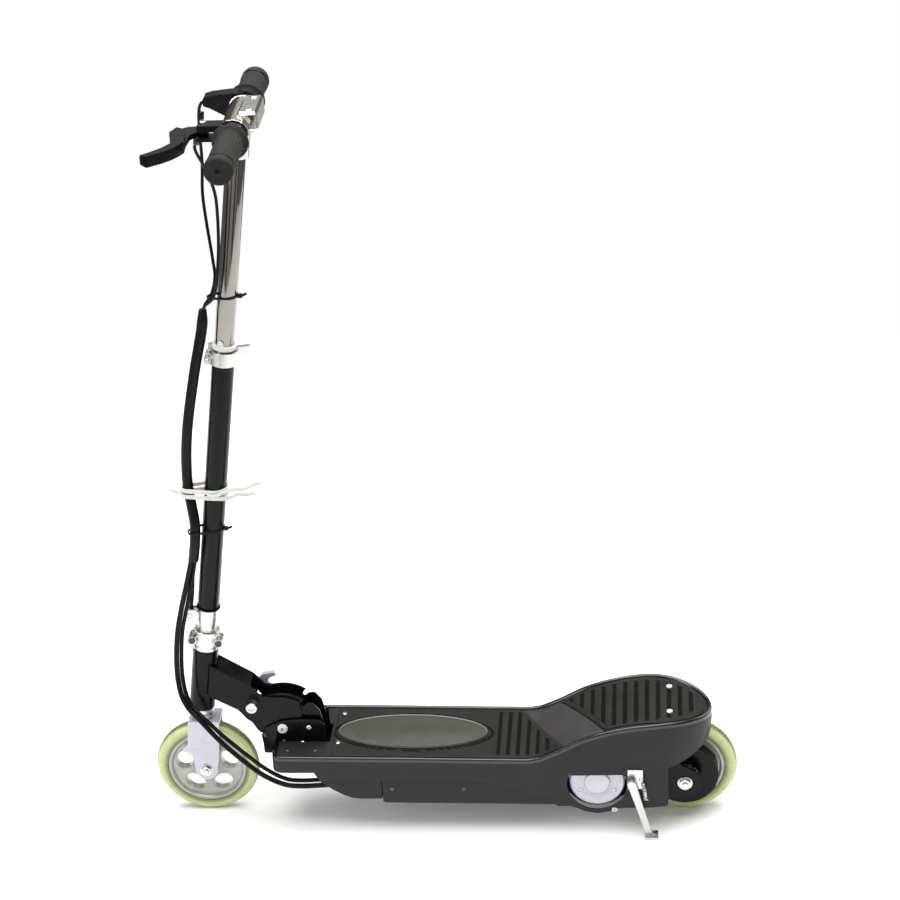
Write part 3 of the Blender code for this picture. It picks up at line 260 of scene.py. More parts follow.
def make_materials():
    finish("deck_plastic", (0.017, 0.017, 0.019), 0.38, spread=0.18, blotch=14.0, grain=1600.0, bump=0.1,
           Specular_IOR_Level=0.2)
    finish("band_plastic", (0.034, 0.032, 0.034), 0.42, spread=0.12, blotch=20.0, grain=1600.0, bump=0.1,
           Specular_IOR_Level=0.3)
    finish("rim_plastic", (0.003, 0.003, 0.003), 0.16, coat=0.45, spread=0.1, rough_spread=0.04, grain=1200.0,
           bump=0.02, Specular_IOR_Level=0.5)
    finish("tray_plastic", (0.014, 0.014, 0.016), 0.44, spread=0.2, blotch=20.0, grain=1300.0, bump=0.12,
           Specular_IOR_Level=0.25)
    # the first mat rubber is a darker copy of the mat's own rubber in mat_rib: it paints shade into the grooves
    finish("mat_rubber_painted_shade", (0.005, 0.005, 0.0045), 0.8, spread=0.25, blotch=30.0, grain=700.0, bump=0.2,
           Specular_IOR_Level=0.06)
    finish("mat_rib", (0.015, 0.0145, 0.013), 0.62, spread=0.25, blotch=30.0, grain=700.0, bump=0.2,
           Specular_IOR_Level=0.16)
    finish("black_paint", (0.0035, 0.0035, 0.0045), 0.24, coat=0.03, grain=500.0, Specular_IOR_Level=0.14)
    finish("black_plastic", (0.006, 0.006, 0.007), 0.42, spread=0.2, grain=1300.0, bump=0.1, Specular_IOR_Level=0.15)
    finish("grip_foam", (0.018, 0.018, 0.017), 0.72, spread=0.25, blotch=160.0, grain=1500.0, bump=0.5,
           Specular_IOR_Level=0.18)
    # a darker copy of the chrome for the riser: its low brightness is painted shade standing in for dark reflections
    # along the tube
    finish("chrome_tube_painted_shade", (0.275, 0.263, 0.243), 0.09, metallic=1.0, spread=0.04, rough_spread=0.03, grain=200.0,
           bump=0.015)
    finish("chrome", (0.66, 0.65, 0.6), 0.19, metallic=1.0, spread=0.04, rough_spread=0.03, grain=200.0, bump=0.015)
    finish("zinc", (0.6, 0.6, 0.59), 0.27, metallic=1.0, spread=0.08, blotch=120.0, bump=0.12)
    finish("brushed_zinc", (0.58, 0.58, 0.58), 0.3, metallic=1.0, spread=0.1, blotch=90.0, bump=0.2,
           stretch=(1.0, 1.0, 0.06))
    finish("silver_paint", (0.5, 0.5, 0.55), 0.34, metallic=0.35, coat=0.2, spread=0.05, grain=2200.0, bump=0.05)
    finish("hub_plastic", (0.36, 0.36, 0.33), 0.2, metallic=0.25, spread=0.12, grain=700.0, bump=0.06)
    finish("badge_face", (0.046, 0.045, 0.036), 0.42, metallic=0.2, spread=0.12, grain=1200.0, bump=0.08)
    finish("badge_border", (0.15, 0.15, 0.12), 0.36, metallic=0.3, spread=0.08, grain=1000.0, bump=0.05)
    finish("cable_sheath", (0.004, 0.004, 0.004), 0.34, spread=0.2, blotch=80.0, grain=600.0, bump=0.08,
           Specular_IOR_Level=0.16)
    finish("belt_rubber", (0.014, 0.014, 0.014), 0.75, spread=0.2, bump=0.2)
    finish("nylon", (0.64, 0.64, 0.61), 0.42, spread=0.04, grain=800.0, bump=0.05, Subsurface_Weight=0.1)
    finish("switch_red", (0.5, 0.03, 0.025), 0.32, spread=0.08)
    finish("battery_case", (0.07, 0.07, 0.075), 0.55, bump=0.1)
    finish("dark_steel", (0.1, 0.1, 0.1), 0.35, metallic=0.9, spread=0.2, bump=0.1)
    ringed_tyre("front_urethane", FRONT_AXLE)
    ringed_tyre("rear_urethane", REAR_AXLE)


# ---------------------------------------------------------------- mesh tools
def edited(mesh):
    bm = bmesh.new()
    bm.from_mesh(mesh)
    return bm


def written(bm, mesh):
    bm.to_mesh(mesh)
    bm.free()
    return mesh


def face_outward(mesh):
    bm = edited(mesh)
    bmesh.ops.recalc_face_normals(bm, faces=bm.faces)
    written(bm, mesh)


def evaluated(obj):
    """A mesh of the object with its modifiers or its curve applied."""
    bpy.context.view_layer.update()
    return bpy.data.meshes.new_from_object(obj.evaluated_get(bpy.context.evaluated_depsgraph_get()))


def shade(mesh, angle):
    mesh.shade_smooth()
    mesh.set_sharp_from_angle(angle=radians(angle))


def mesh_object(name, points, faces, material=None, body=None, smooth=None):
    mesh = bpy.data.meshes.new(name)
    mesh.from_pydata([tuple(point) for point in points], [], faces)
    face_outward(mesh)
    return adopt(linked(name, mesh), material, body, smooth)


def adopt(obj, material=None, body=None, smooth=None):
    """Gives an object its material and body, and shades it smooth up to the angle given."""
    if smooth is not None:
        shade(obj.data, smooth)
    if material:
        obj.data.materials.clear()
        obj.data.materials.append(MATERIALS[material])
    if body:
        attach(obj, body)
    return obj


def refined(node, material, width=0.0006, segments=2, angle=32):
    """A CAD node's own shape with its edges rounded; it stands for the node."""
    source = frame["nodes"][node]
    bm = edited(source.data)
    bmesh.ops.remove_doubles(bm, verts=bm.verts, dist=0.00002)
    bmesh.ops.dissolve_limit(bm, angle_limit=radians(1.0), verts=bm.verts, edges=bm.edges)
    mesh = written(bm, bpy.data.meshes.new(node + "_finished"))
    obj = adopt(linked(mesh.name, mesh), material, source["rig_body"], 32)
    bevel = obj.modifiers.new("bevel", "BEVEL")
    bevel.width = width
    bevel.segments = segments
    bevel.limit_method = "ANGLE"
    bevel.angle_limit = radians(angle)
    bevel.harden_normals = True
    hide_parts(node)


def basis(axis):
    """A turn that carries local +Z onto the axis."""
    return Vector(axis).normalized().to_track_quat("Z", "Y").to_matrix().to_4x4()


def ring_faces(rings, count, closed):
    """Faces between rings of `count` points each; the last ring joins the first, or both ends are capped."""
    faces = []
    for ring in range(rings if closed else rings - 1):
        after = (ring + 1) % rings
        for step in range(count):
            beside = (step + 1) % count
            faces.append((ring * count + step, ring * count + beside, after * count + beside, after * count + step))
    if not closed:
        faces += [tuple(range(count)), tuple(range((rings - 1) * count, rings * count))]
    return faces


def lathe(name, profile, centre, axis, material, body, count=64, closed=True, smooth=28, shape=None):
    """Rings of (radius, height) about an axis; shape(angle, radius, height) may change the radius."""
    turn = Matrix.Translation(centre) @ basis(axis)
    points = []
    for radius, height in profile:
        for step in range(count):
            angle = 2 * pi * step / count
            reach = shape(angle, radius, height) if shape else radius
            points.append(turn @ Vector((reach * cos(angle), reach * sin(angle), height)))
    return mesh_object(name, points, ring_faces(len(profile), count, closed), material, body, smooth)


def hexed(angle, radius):
    """The reach of a hexagon of that corner radius in a direction."""
    return radius * cos(radians(30)) / cos((angle + radians(30)) % radians(60) - radians(30))


def dome_screw(name, centre, axis, radius, body, material="zinc", height=None):
    """A domed head with a hexagonal socket."""
    height = height or radius * 0.55
    hole = radius * 0.42
    profile = [(radius, 0.0), (radius, height * 0.35), (radius * 0.93, height * 0.62), (radius * 0.75, height * 0.88),
            (radius * 0.52, height), (hole, height * 0.97), (hole * 0.96, height * 0.35), (hole * 0.2, height * 0.3)]
    def shape(angle, reach, up):
        return hexed(angle, reach) if reach <= hole * 1.01 else reach
    return lathe(name, profile, centre, axis, material, body, 24, closed=False, smooth=40, shape=shape)


def hex_nut(name, centre, axis, radius, height, body, material="zinc", stud=0.55):
    """A hexagon nut with chamfered corners and the end of its bolt standing out of it."""
    bolt = radius * stud
    profile = [(radius * 0.92, 0.0), (radius, height * 0.12), (radius, height * 0.82), (radius * 0.88, height),
            (bolt * 1.12, height), (bolt, height * 0.94), (bolt, height * 1.28), (bolt * 0.8, height * 1.4),
            (bolt * 0.1, height * 1.42)]
    def shape(angle, reach, up):
        return hexed(angle, reach) if reach >= radius * 0.95 else min(reach, hexed(angle, radius))
    return lathe(name, profile, centre, axis, material, body, 36, closed=False, smooth=25, shape=shape)


def smooth_path(corners, spacing):
    """Points about `spacing` apart on a Catmull-Rom curve through the corners."""
    knots = [Vector(corner) for corner in corners]
    knots = [2 * knots[0] - knots[1]] + knots + [2 * knots[-1] - knots[-2]]
    path = []
    for before, start, end, after in zip(knots, knots[1:], knots[2:], knots[3:]):
        count = max(1, round((end - start).length / spacing))
        for step in range(count):
            t = step / count
            path.append(0.5 * (2 * start + (end - before) * t + (2 * before - 5 * start + 4 * end - after) * t ** 2 +
                    (3 * start - before - 3 * end + after) * t ** 3))
    path.append(knots[-2])
    return path


def sweep(name, path, section, material, body=None, closed=False, side=None, smooth=40, scale=None):
    """A section of (across, up) points carried along a path; side fixes which way `across` points."""
    count = len(path)
    across = Vector(side) if side else Vector((0.31, 0.84, 0.44))
    points = []
    for index, place in enumerate(path):
        after = path[(index + 1) % count] if closed or index < count - 1 else path[index]
        before = path[index - 1] if closed or index else path[index]
        tangent = (after - before).normalized()
        if side:
            across = Vector(side)
        across = (across - tangent * across.dot(tangent)).normalized()
        up = tangent.cross(across)
        size = scale(index / (count - 1)) if scale else 1.0
        for a, b in section:
            points.append(place + across * a * size + up * b * size)
    return mesh_object(name, points, ring_faces(count, len(section), closed), material, body, smooth)


def ellipse(across, up, count):
    return [(across * cos(2 * pi * k / count), up * sin(2 * pi * k / count)) for k in range(count)]


def round_section(radius, count=16):
    return ellipse(radius, radius, count)


def flat_strap(width, thickness):
    """A flat strap with rounded edges: its width across, its thickness up."""
    w, t = width / 2, thickness / 2
    return [(-w * 0.8, t), (-w, t * 0.6), (-w, -t * 0.6), (-w * 0.8, -t), (w * 0.8, -t), (w, -t * 0.6),
            (w, t * 0.6), (w * 0.8, t)]


def flat_shape(name, outlines, depth, matrix, material, body, rounding=0.0006, smooth=30):
    """A plate from 2D outlines, its edges rounded; later outlines are holes."""
    curve = bpy.data.curves.new(name, "CURVE")
    curve.dimensions = "2D"
    curve.fill_mode = "BOTH"
    curve.extrude = depth / 2 - rounding
    curve.bevel_depth = rounding
    curve.bevel_resolution = 2
    curve.offset = -rounding
    for outline in outlines:
        spline = curve.splines.new("POLY")
        spline.points.add(len(outline) - 1)
        spline.use_cyclic_u = True
        for point, (across, up) in zip(spline.points, outline):
            point.co = (across, up, 0.0, 1.0)
    holder = linked(name, curve)
    mesh = evaluated(holder)
    bpy.data.objects.remove(holder, do_unlink=True)
    bpy.data.curves.remove(curve)
    bm = edited(mesh)
    bmesh.ops.remove_doubles(bm, verts=bm.verts, dist=0.00001)
    bmesh.ops.transform(bm, matrix=matrix, verts=bm.verts)
    bmesh.ops.recalc_face_normals(bm, faces=bm.faces)
    written(bm, mesh)
    return adopt(linked(name, mesh), material, body, smooth)


def arc(centre, radius, start, end, count):
    points = []
    for step in range(count + 1):
        angle = radians(start + (end - start) * step / count)
        points.append((centre[0] + radius * cos(angle), centre[1] + radius * sin(angle)))
    return points


def circle(centre, radius, count):
    return arc(centre, radius, 0, 360, count)[:-1]


def side_plate(y):
    """Stands a flat outline upright, facing -Y, at that y."""
    return Matrix.Translation((0.0, y, 0.0)) @ SIDE_VIEW


# ---------------------------------------------------------------- wheels
def tyre(name, axle, material, body):
    """A solid urethane tyre: round tread, shallow side dishes and a fine mould line."""
    profile = mm((53.6, 10.4), (55.5, 11), (57.2, 10.6), (59, 11.4), (61.2, 11.3))
    profile += [(0.058 + 0.0119 * cos(a), 0.0119 * sin(a)) for a in (radians(70 - 7 * step) for step in range(10))]
    profile += [(0.06995, 0.0004)]
    mirrored = [(radius, -height) for radius, height in reversed(profile)]
    obj = lathe(name, profile + mirrored, axle, Y, material, body, 128, smooth=40)
    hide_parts(name.replace("_urethane", "_tyre"))
    return obj


def hub(name, axle, body):
    """A hub with five oval windows, a stepped rim and a bearing boss with its seal."""
    windows = []
    for spoke in range(5):
        middle = radians(90 + 72 * spoke)
        turn = Matrix.Rotation(middle, 2)
        windows.append([Vector((axle.x, axle.z)) + turn @ Vector((0.0318 + out, around)) for out,
                around in ellipse(0.0108, 0.0142, 36)])
    rim = circle((axle.x, axle.z), 0.0505, 72)
    obj = flat_shape(name + "_spokes", [rim] + windows, 0.0138, side_plate(0.0), "hub_plastic", body, 0.0016)
    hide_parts(name)
    band = mm((53.2, 9.8), (53.2, -9.8), (52.4, -10.5), (49.2, -10.5), (47.2, -8.5), (46.6, -6), (46.6, 6),
            (47.2, 8.5), (49.2, 10.5), (52.4, 10.5))
    lathe(name + "_rim", band, axle, Y, "hub_plastic", body, 96, smooth=35)
    boss = mm((4.6, 11.6), (4.6, -11.6), (10.5, -11.6), (10.8, -12.2), (13.6, -12.1), (14.1, -11.2), (14.8, -6.8),
            (14.8, 6.8), (14.1, 11.2), (13.6, 12.1), (10.8, 12.2), (10.5, 11.6))
    lathe(name + "_boss", boss, axle, Y, "hub_plastic", body, 64, smooth=35)
    for side, word in SIDES:
        seal = mm((4.8, 0), (10.4, 0), (10.4, 0.6), (9.2, 1), (6, 1), (4.8, 0.6))
        lathe(f"{name}_seal_{word}", seal, axle + Y * side * 0.0115, Y * side, "dark_steel", body, 48, smooth=35)


def wheels():
    tyre("front_urethane", FRONT_AXLE, "front_urethane", "front_wheel")
    hub("front_hub", FRONT_AXLE, "front_wheel")
    tyre("rear_urethane", REAR_AXLE, "rear_urethane", "rear_wheel")
    hub("rear_hub", REAR_AXLE, "rear_wheel")
    axle_nuts("front_axle", FRONT_AXLE, 0.0178, 0.0076, 0.005, "steering")
    axle_nuts("rear_axle", REAR_AXLE, 0.049, 0.0084, 0.006, "chassis")
    driven_pulley()
    drum()


def axle_nuts(node, axle, reach, radius, height, body):
    """The axle itself with a washer and a nut at each end."""
    span = reach + 0.0004
    profile = [(0.0036, span), (0.0039, span - 0.0004), (0.0039, -span + 0.0004), (0.0036, -span)]
    rod = lathe(node + "_rod", profile, axle, Y, "zinc", body, 40, closed=False, smooth=35)
    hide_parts(node)
    for side, word in SIDES:
        washer = [(0.0042, 0.0), (radius * 1.18, 0.0), (radius * 1.18, 0.0009), (0.0042, 0.0009)]
        at = axle + Y * side * reach
        lathe(f"{node}_washer_{word}", washer, at, Y * side, "zinc", body, 40, smooth=30)
        hex_nut(f"{node}_nut_{word}", at + Y * side * 0.0009, Y * side, radius, height - 0.0019, body, "zinc", 0.48)


def driven_pulley():
    """The toothed ring that the belt drives: 82 teeth, five round holes in its web."""
    centre = Vector((REAR_AXLE.x, 0.0235, REAR_AXLE.z))
    flat = (REAR_AXLE.x, REAR_AXLE.z)
    middles = arc(flat, 0.0235, 90, 450, 5)[:-1]
    holes = [circle(middle, 0.0052, 20) for middle in middles]
    web = flat_shape("driven_pulley_web", [circle(flat, 0.0345, 72), circle(flat, 0.0046, 24)] + holes, 0.008,
            side_plate(0.024), "black_plastic", "rear_wheel", 0.0008)
    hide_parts("driven_pulley")
    def toothed(angle, reach, height):
        wave = cos(82 * angle)
        return reach - (0.001 * (1 - max(-0.5, min(0.5, wave * 1.5)) * 2) / 2 if reach > 0.038 else 0.0)
    ring = mm((33.8, 6.2), (38.6, 6.2), (38.6, -6.2), (33.8, -6.2))
    lathe("driven_pulley_teeth", ring, centre, Y, "black_plastic", "rear_wheel", 656, smooth=30, shape=toothed)
    sleeve = mm((4.6, -6), (10.8, -6), (10.8, -10.4), (10, -10.4), (4.6, -10.4))
    lathe("driven_pulley_sleeve", sleeve, centre, Y, "zinc", "rear_wheel", 40)


def drum():
    profile = mm((4.6, 6.8), (39, 6.8), (40.4, 5.6), (40.4, -5.6), (39, -6.8), (18, -6.8), (17, -6), (4.6, -6))
    obj = lathe("brake_drum_turned", profile, REAR_AXLE + Y * -0.0212, Y, "brushed_zinc", "rear_wheel", 96)
    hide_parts("brake_drum")


# ---------------------------------------------------------------- deck
RIM_LINE = mm((-300, 123), (-230, 122.5), (-50, 120.3), (90, 118), (125, 119), (155, 131.5), (190, 150), (225, 161.8),
        (262, 168.8), (295, 170.5), (330, 166.8), (359, 160), (390, 150))
SKIRT_LINE = mm((-230, 98), (-169, 98), (-160, 83), (50, 83), (137, 57), (154, 44.5), (170, 44.5), (178, 42),
        (190, 36), (206.4, 33), (223, 36), (234, 40.5), (245, 41.5), (299, 41.5), (300.5, 100.5), (316, 105.8),
        (329, 110.4), (342, 117.4), (349, 121.5), (354.5, 128), (357.5, 140), (359, 142))


def rim_height(x):
    """The deck's rim line: level under the front foot, then a smooth step up to the heel."""
    for index in range(1, len(RIM_LINE) - 2):
        (x1, z1), (x2, z2) = RIM_LINE[index], RIM_LINE[index + 1]
        if x <= x2 or index == len(RIM_LINE) - 3:
            (x0, z0), (x3, z3) = RIM_LINE[index - 1], RIM_LINE[index + 2]
            span = x2 - x1
            t = (x - x1) / span
            slope1 = (z2 - z0) / (x2 - x0) * span
            slope2 = (z3 - z1) / (x3 - x1) * span
            return ((2 * t ** 3 - 3 * t ** 2 + 1) * z1 + (t ** 3 - 2 * t ** 2 + t) * slope1
                    + (3 * t ** 2 - 2 * t ** 3) * z2 + (t ** 3 - t ** 2) * slope2)
    return RIM_LINE[-1][1]


def along_line(line, x):
    """Height at x on a line of straight runs."""
    if x <= line[0][0]:
        return line[0][1]
    for (x1, z1), (x2, z2) in zip(line, line[1:]):
        if x <= x2:
            return z1 + (z2 - z1) * (x - x1) / (x2 - x1)
    return line[-1][1]


def deck_outline():
    """Half of the deck's plan outline, from the middle of the front edge round to the heel's end."""
    corner = 0.014
    points = [(DECK_FRONT, y) for y in (0.0, 0.012, 0.022, 0.03, 0.038, 0.045)]
    for step in range(9):
        angle = radians(90 * step / 8)
        points.append((DECK_FRONT + corner * (1 - cos(angle)), DECK_HALF - corner * (1 - sin(angle))))
    side = [-205, -190, -180, -169, -164.5, -160, *range(-155, 86, 10)]
    side += [94, 102, 110, 118, 125, 131, 137, 143, 149, 154, 159, 164, 170, 174, 178, 184, 190, 198, 206.4, 215, 223,
            228.5, 234, 240, 245, 253, 260]
    points += [(x / 1000, DECK_HALF) for x in side]
    heel = (265, 272, 280, 289, 299, 300.5, 308.5, 316, 322.5, 329, 335.5, 342, 345.8, 349, 352, 354.5, 356.2, 357.5,
            358.3, 358.8, 359)
    for x in (x / 1000 for x in heel):
        reach = (x - HEEL_START) / (HEEL_END - HEEL_START)
        points.append((x, DECK_HALF * sqrt(max(0.0, 1 - reach * reach))))
    return points


def inset(points, distance):
    """A plan outline moved inward by a distance, each point along its own normal."""
    moved = []
    for index, (x, y) in enumerate(points):
        before = points[max(index - 1, 0)]
        after = points[min(index + 1, len(points) - 1)]
        run = Vector((after[0] - before[0], after[1] - before[1])).normalized()
        normal = Vector((run.y, -run.x))
        if index == 0:
            normal = Vector((1.0, 0.0))
        if index == len(points) - 1:
            normal = Vector((-1.0, 0.0))
        moved.append((x + normal.x * distance, max(0.0, y + normal.y * distance)))
    return moved


def plain_box(name, size, centre):
    bm = bmesh.new()
    bmesh.ops.create_cube(bm, size=1.0)
    bmesh.ops.scale(bm, vec=Vector(size), verts=bm.verts)
    obj = linked(name, written(bm, bpy.data.meshes.new(name)))
    obj.matrix_world = Matrix.Translation(centre)
    return obj


def applied(obj, *cutters):
    """Cuts the cutters out of the object, applies its modifiers and removes them."""
    for cutter in cutters:
        modifier = obj.modifiers.new("cut", "BOOLEAN")
        modifier.operation = "DIFFERENCE"
        modifier.use_self = True
        modifier.object = cutter
    mesh = evaluated(obj)
    obj.modifiers.clear()
    obj.data = mesh
    for cutter in cutters:
        bpy.data.objects.remove(cutter, do_unlink=True)


def deck_shell():
    """The moulded cover: satin skirts, a rounded glossy rim and the recessed floor."""
    outline = deck_outline()
    # how far in each row of the wall lies, its height over the rim line, or over the skirt's lower edge
    steps = [(0.0, None, 0.0), (0.0003, None, 0.0012), (0.0, None, 0.0024)]
    steps += [(inward, drop, None) for inward, drop in mm(
        (0, -6), (0, -3), (0.3, -1.4), (1, -0.4), (2.2, 0), (3.6, -0.1), (4.8, -0.8), (5.5, -1.8), (6.2, -3))]
    rows = []
    for distance, drop, above_hem in steps:
        moved = inset(outline, distance) if distance else outline
        row = []
        for (x, _), (mx, my) in zip(outline, moved):
            if above_hem is None:
                height = rim_height(mx) + drop
            else:
                height = along_line(SKIRT_LINE, x) + above_hem
            row.append((mx, my, height))
        rows.append(row)
    last = rows[-1]
    for share in (0.66, 0.33, 0.0):
        rows.append([(x, y * share, rim_height(x) - RIM_DEPTH) for x, y, _ in last])
    bm = bmesh.new()
    grid = [[bm.verts.new(point) for point in row] for row in rows]
    for level, (lower, upper) in enumerate(zip(grid, grid[1:])):
        for a, b, c, d in zip(lower, lower[1:], upper[1:], upper):
            face = bm.faces.new((a, d, c, b))
            face.material_index = 1 if 3 <= level <= 10 else 0
    bmesh.ops.remove_doubles(bm, verts=bm.verts, dist=0.00002)
    bmesh.ops.dissolve_degenerate(bm, dist=0.00001, edges=bm.edges)
    mesh = written(bm, bpy.data.meshes.new("deck_shell"))
    obj = linked("deck_shell", mesh)
    for material in ("deck_plastic", "rim_plastic"):
        mesh.materials.append(MATERIALS[material])
    mirror = obj.modifiers.new("mirror", "MIRROR")
    mirror.use_axis = (False, True, False)
    mirror.merge_threshold = 0.00005
    wall = obj.modifiers.new("wall", "SOLIDIFY")
    wall.thickness = SKIN
    wall.offset = -1.0
    slot = plain_box("deck_neck_slot", (0.11, 0.0436, 0.08), (-0.205, 0.0, 0.12))
    switch = plain_box("deck_switch_window", (0.0166, 0.012, 0.0114), (-0.02, DECK_HALF, 0.101))
    motor_at = (MOTOR.x, MOTOR.z)
    window = flat_shape("deck_motor_window", [arc(motor_at, 0.0395, -204, 20, 64) + [(MOTOR.x + 0.0365, 0.094),
            (MOTOR.x - 0.0355, 0.093)]], 0.02, side_plate(-DECK_HALF), None, None, 0.0)
    applied(obj)
    face_outward(obj.data)  # the cuts need a closed wall that faces outward
    applied(obj, slot, switch, window)
    shade(obj.data, 38)
    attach(obj, "chassis")
    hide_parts("deck_cover")


def band_front(y):
    return 0.1345 - 0.49 * y


def band_rear(y):
    return 0.188 - 0.55 * y


def heel_rear(y):
    return HEEL_START + 0.0862 * sqrt(1 - (y / 0.0576) ** 2)


def grid_faces(rows, columns):
    """Four-sided faces over points stored column by column."""
    return [(j * rows + i, j * rows + i + 1, (j + 1) * rows + i + 1, (j + 1) * rows + i)
            for j in range(columns - 1) for i in range(rows - 1)]


def tread_mat(name, node, front_edge, rear_edge, half_width, relief, rows=260):
    """A rubber mat that follows the deck floor; relief(x, y) is how far its top stands above its base."""
    columns = 61
    tops, bottoms, heights = [], [], []
    for j in range(columns):
        y = half_width * (2 * j / (columns - 1) - 1)
        front, rear = front_edge(y), rear_edge(y)
        for i in range(rows):
            x = front + (rear - front) * i / (rows - 1)
            base = rim_height(x) - RIM_DEPTH
            edge = min(x - front, rear - x, half_width - abs(y))
            shoulder = min(1.0, max(0.0, edge / 0.0012))
            tops.append((x, y, base + 0.0011 + shoulder * relief(x, y)))
            heights.append(relief(x, y))
            bottoms.append((x, y, base + 0.001))
    faces = grid_faces(rows, columns)
    count = rows * columns
    border = list(range(rows))
    border += [j * rows + rows - 1 for j in range(1, columns)]
    border += [(columns - 1) * rows + i for i in range(rows - 2, -1, -1)]
    border += [j * rows for j in range(columns - 2, 0, -1)]
    lower = {index: count + k for k, index in enumerate(border)}
    points = tops + [bottoms[index] for index in border]
    for k, index in enumerate(border):
        beside = border[(k + 1) % len(border)]
        faces.append((index, beside, lower[beside], lower[index]))
    faces.append(tuple(lower[index] for index in reversed(border)))
    obj = mesh_object(name, points, faces, "mat_rubber_painted_shade", "chassis", 50)
    obj.data.materials.append(MATERIALS["mat_rib"])
    # faces that stand proud take the mat's own rubber; the low grooves keep the darker copy as painted shade
    for face in obj.data.polygons:
        top_heights = [heights[index] for index in face.vertices if index < count]
        if len(top_heights) == 4 and sum(top_heights) / 4 > 0.0006:
            face.material_index = 1
    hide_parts(node)


def rib(x, pitch):
    """A rounded rib's height, 0 to 1, repeating along x."""
    phase = (x / pitch) % 1.0
    share, rise = 0.55, 0.14
    if phase < rise:
        return sin(phase / rise * pi / 2)
    if phase < share:
        return 1.0
    if phase < share + rise:
        return cos((phase - share) / rise * pi / 2)
    return 0.0


def mats():
    def front_relief(x, y):
        height = 0.0007
        inner = x > 0.07 and x < band_front(y) - 0.005 and abs(y) < 0.05
        if inner:
            height = 0.0001 + 0.0012 * rib(x, 0.013)
        oval = ((x + 0.04) / 0.1075) ** 2 + (y / 0.044) ** 2
        if 0.94 < oval < 1.0:
            height = 0.0003
        return height

    def heel_relief(x, y):
        reach = ((x - HEEL_START) / 0.08) ** 2 + (y / 0.052) ** 2 if x > HEEL_START else (y / 0.052) ** 2
        if x > band_rear(y) + 0.007 and reach < 0.88:
            return 0.0001 + 0.0012 * rib(x, 0.0145)
        return 0.0007
    tread_mat("front_tread", "front_mat", lambda y: -0.146, band_front, 0.057, front_relief)
    tread_mat("heel_tread", "heel_mat", band_rear, heel_rear, 0.0535, heel_relief, 200)
    band_pad()


def band_pad():
    """The smooth raised band between the two mats."""
    across, along = 41, 30
    points = []
    for j in range(across):
        y = 0.056 * (2 * j / (across - 1) - 1)
        front, rear = band_front(y) + 0.0014, band_rear(y) - 0.0014
        for i in range(along):
            x = front + (rear - front) * i / (along - 1)
            edge = min(x - front, rear - x, 0.056 - abs(y))
            lift = 0.001 * sin(min(1.0, max(0.0, edge / 0.002)) * pi / 2)
            points.append((x, y, rim_height(x) - RIM_DEPTH + 0.0001 + lift))
    mesh_object("smooth_band", points, grid_faces(along, across), "band_plastic", "chassis", 50)


def badge():
    """A plain oval plate with a lighter raised border and no lettering."""
    x, half_long, half_wide = -0.04, 0.101, 0.04
    tilt = atan2(rim_height(-0.12) - rim_height(0.04), 0.16)
    base = rim_height(x) - RIM_DEPTH + 0.0024
    turn = Matrix.Translation((x, 0.0, base + 0.0006)) @ Matrix.Rotation(tilt, 4, "Y")
    oval = ellipse(half_long, half_wide, 96)
    face = flat_shape("badge_face", [oval], 0.001, turn, "badge_face", "chassis", 0.0003)
    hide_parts("badge_plate")
    border = [turn @ Vector((a, b, 0.0006)) for a, b in ellipse(half_long - 0.0022, half_wide - 0.0022, 96)]
    sweep("badge_border", border, ellipse(0.0013, 0.0006, 10), "badge_border", "chassis", closed=True)


def deck_screws():
    for name, places, lift, tilt, radius, material in (
            ("heel", mm((303, 32), (303, -28)), 0.0017, 0.05, 0.0042, "nylon"),
            ("mat", mm((-137, 43), (-139, -27)), 0.0015, 0.0, 0.0034, "zinc"),
            ("front", mm((-205, 43), (-168, 43), (-205, -43), (-168, -43)), -0.0002, 0.0, 0.0032, "dark_steel")):
        for index, (x, y) in enumerate(places):
            z = rim_height(x) - RIM_DEPTH + lift
            dome_screw(f"{name}_screw_{index}", (x, y, z), (tilt, 0.0, 1.0), radius, "chassis", material)


def trays():
    refined("battery_box", "tray_plastic", 0.0012, 3)
    refined("nose_tray", "tray_plastic", 0.0014, 3)
    for index, x in enumerate((-0.066, 0.03, 0.136)):
        for side, word in SIDES:
            dome_screw(f"tray_screw_{index}_{word}", (x, side * 0.0621, 0.07), Y * side, 0.003, "chassis",
                    "dark_steel", 0.0012)
    refined("battery_front", "battery_case", 0.0015, 2)
    refined("battery_rear", "battery_case", 0.0015, 2)
    refined("motor_controller", "brushed_zinc", 0.001, 2)


# ---------------------------------------------------------------- motor, belt and brake
def motor():
    """The can motor: a dished end bell with a raised boss, a rolled edge and through bolts."""
    profile = [(0.0004, 0.0314), (0.027, 0.0314), (0.035, 0.0306), (0.0366, 0.0288), (MOTOR_R, 0.027),
            (MOTOR_R, -0.0262), (0.0366, -0.0284), (0.0354, -0.03), (0.0342, -0.0304), (0.033, -0.03), (0.03, -0.0296),
            (0.0186, -0.0298), (0.0172, -0.0306), (0.0166, -0.033), (0.0155, -0.0337), (0.012, -0.0336),
            (0.006, -0.0333), (0.0004, -0.0332)]
    can = lathe("motor_can", profile, MOTOR, Y, "silver_paint", "chassis", 96, closed=False, smooth=30)
    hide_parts("motor")
    for index, angle in enumerate((-150, -30)):
        at = MOTOR + Vector((0.0262 * cos(radians(angle)), -0.0296, 0.0262 * sin(radians(angle))))
        dome_screw(f"motor_bolt_{index}", at, -Y, 0.003, "chassis", "zinc", 0.0014)
    collar = [(MOTOR_R + 0.0004, -0.001), (0.0404, -0.001), (0.0404, 0.001), (MOTOR_R + 0.0004, 0.001)]
    lathe("motor_gasket", collar, (MOTOR.x, -0.047, MOTOR.z), Y, "black_plastic", "chassis", 72)
    refined("motor_mount", "black_paint", 0.0006)
    dome_screw("motor_side_bolt", (0.229, -0.064, 0.0385), -Y, 0.004, "chassis", "zinc", 0.0016)


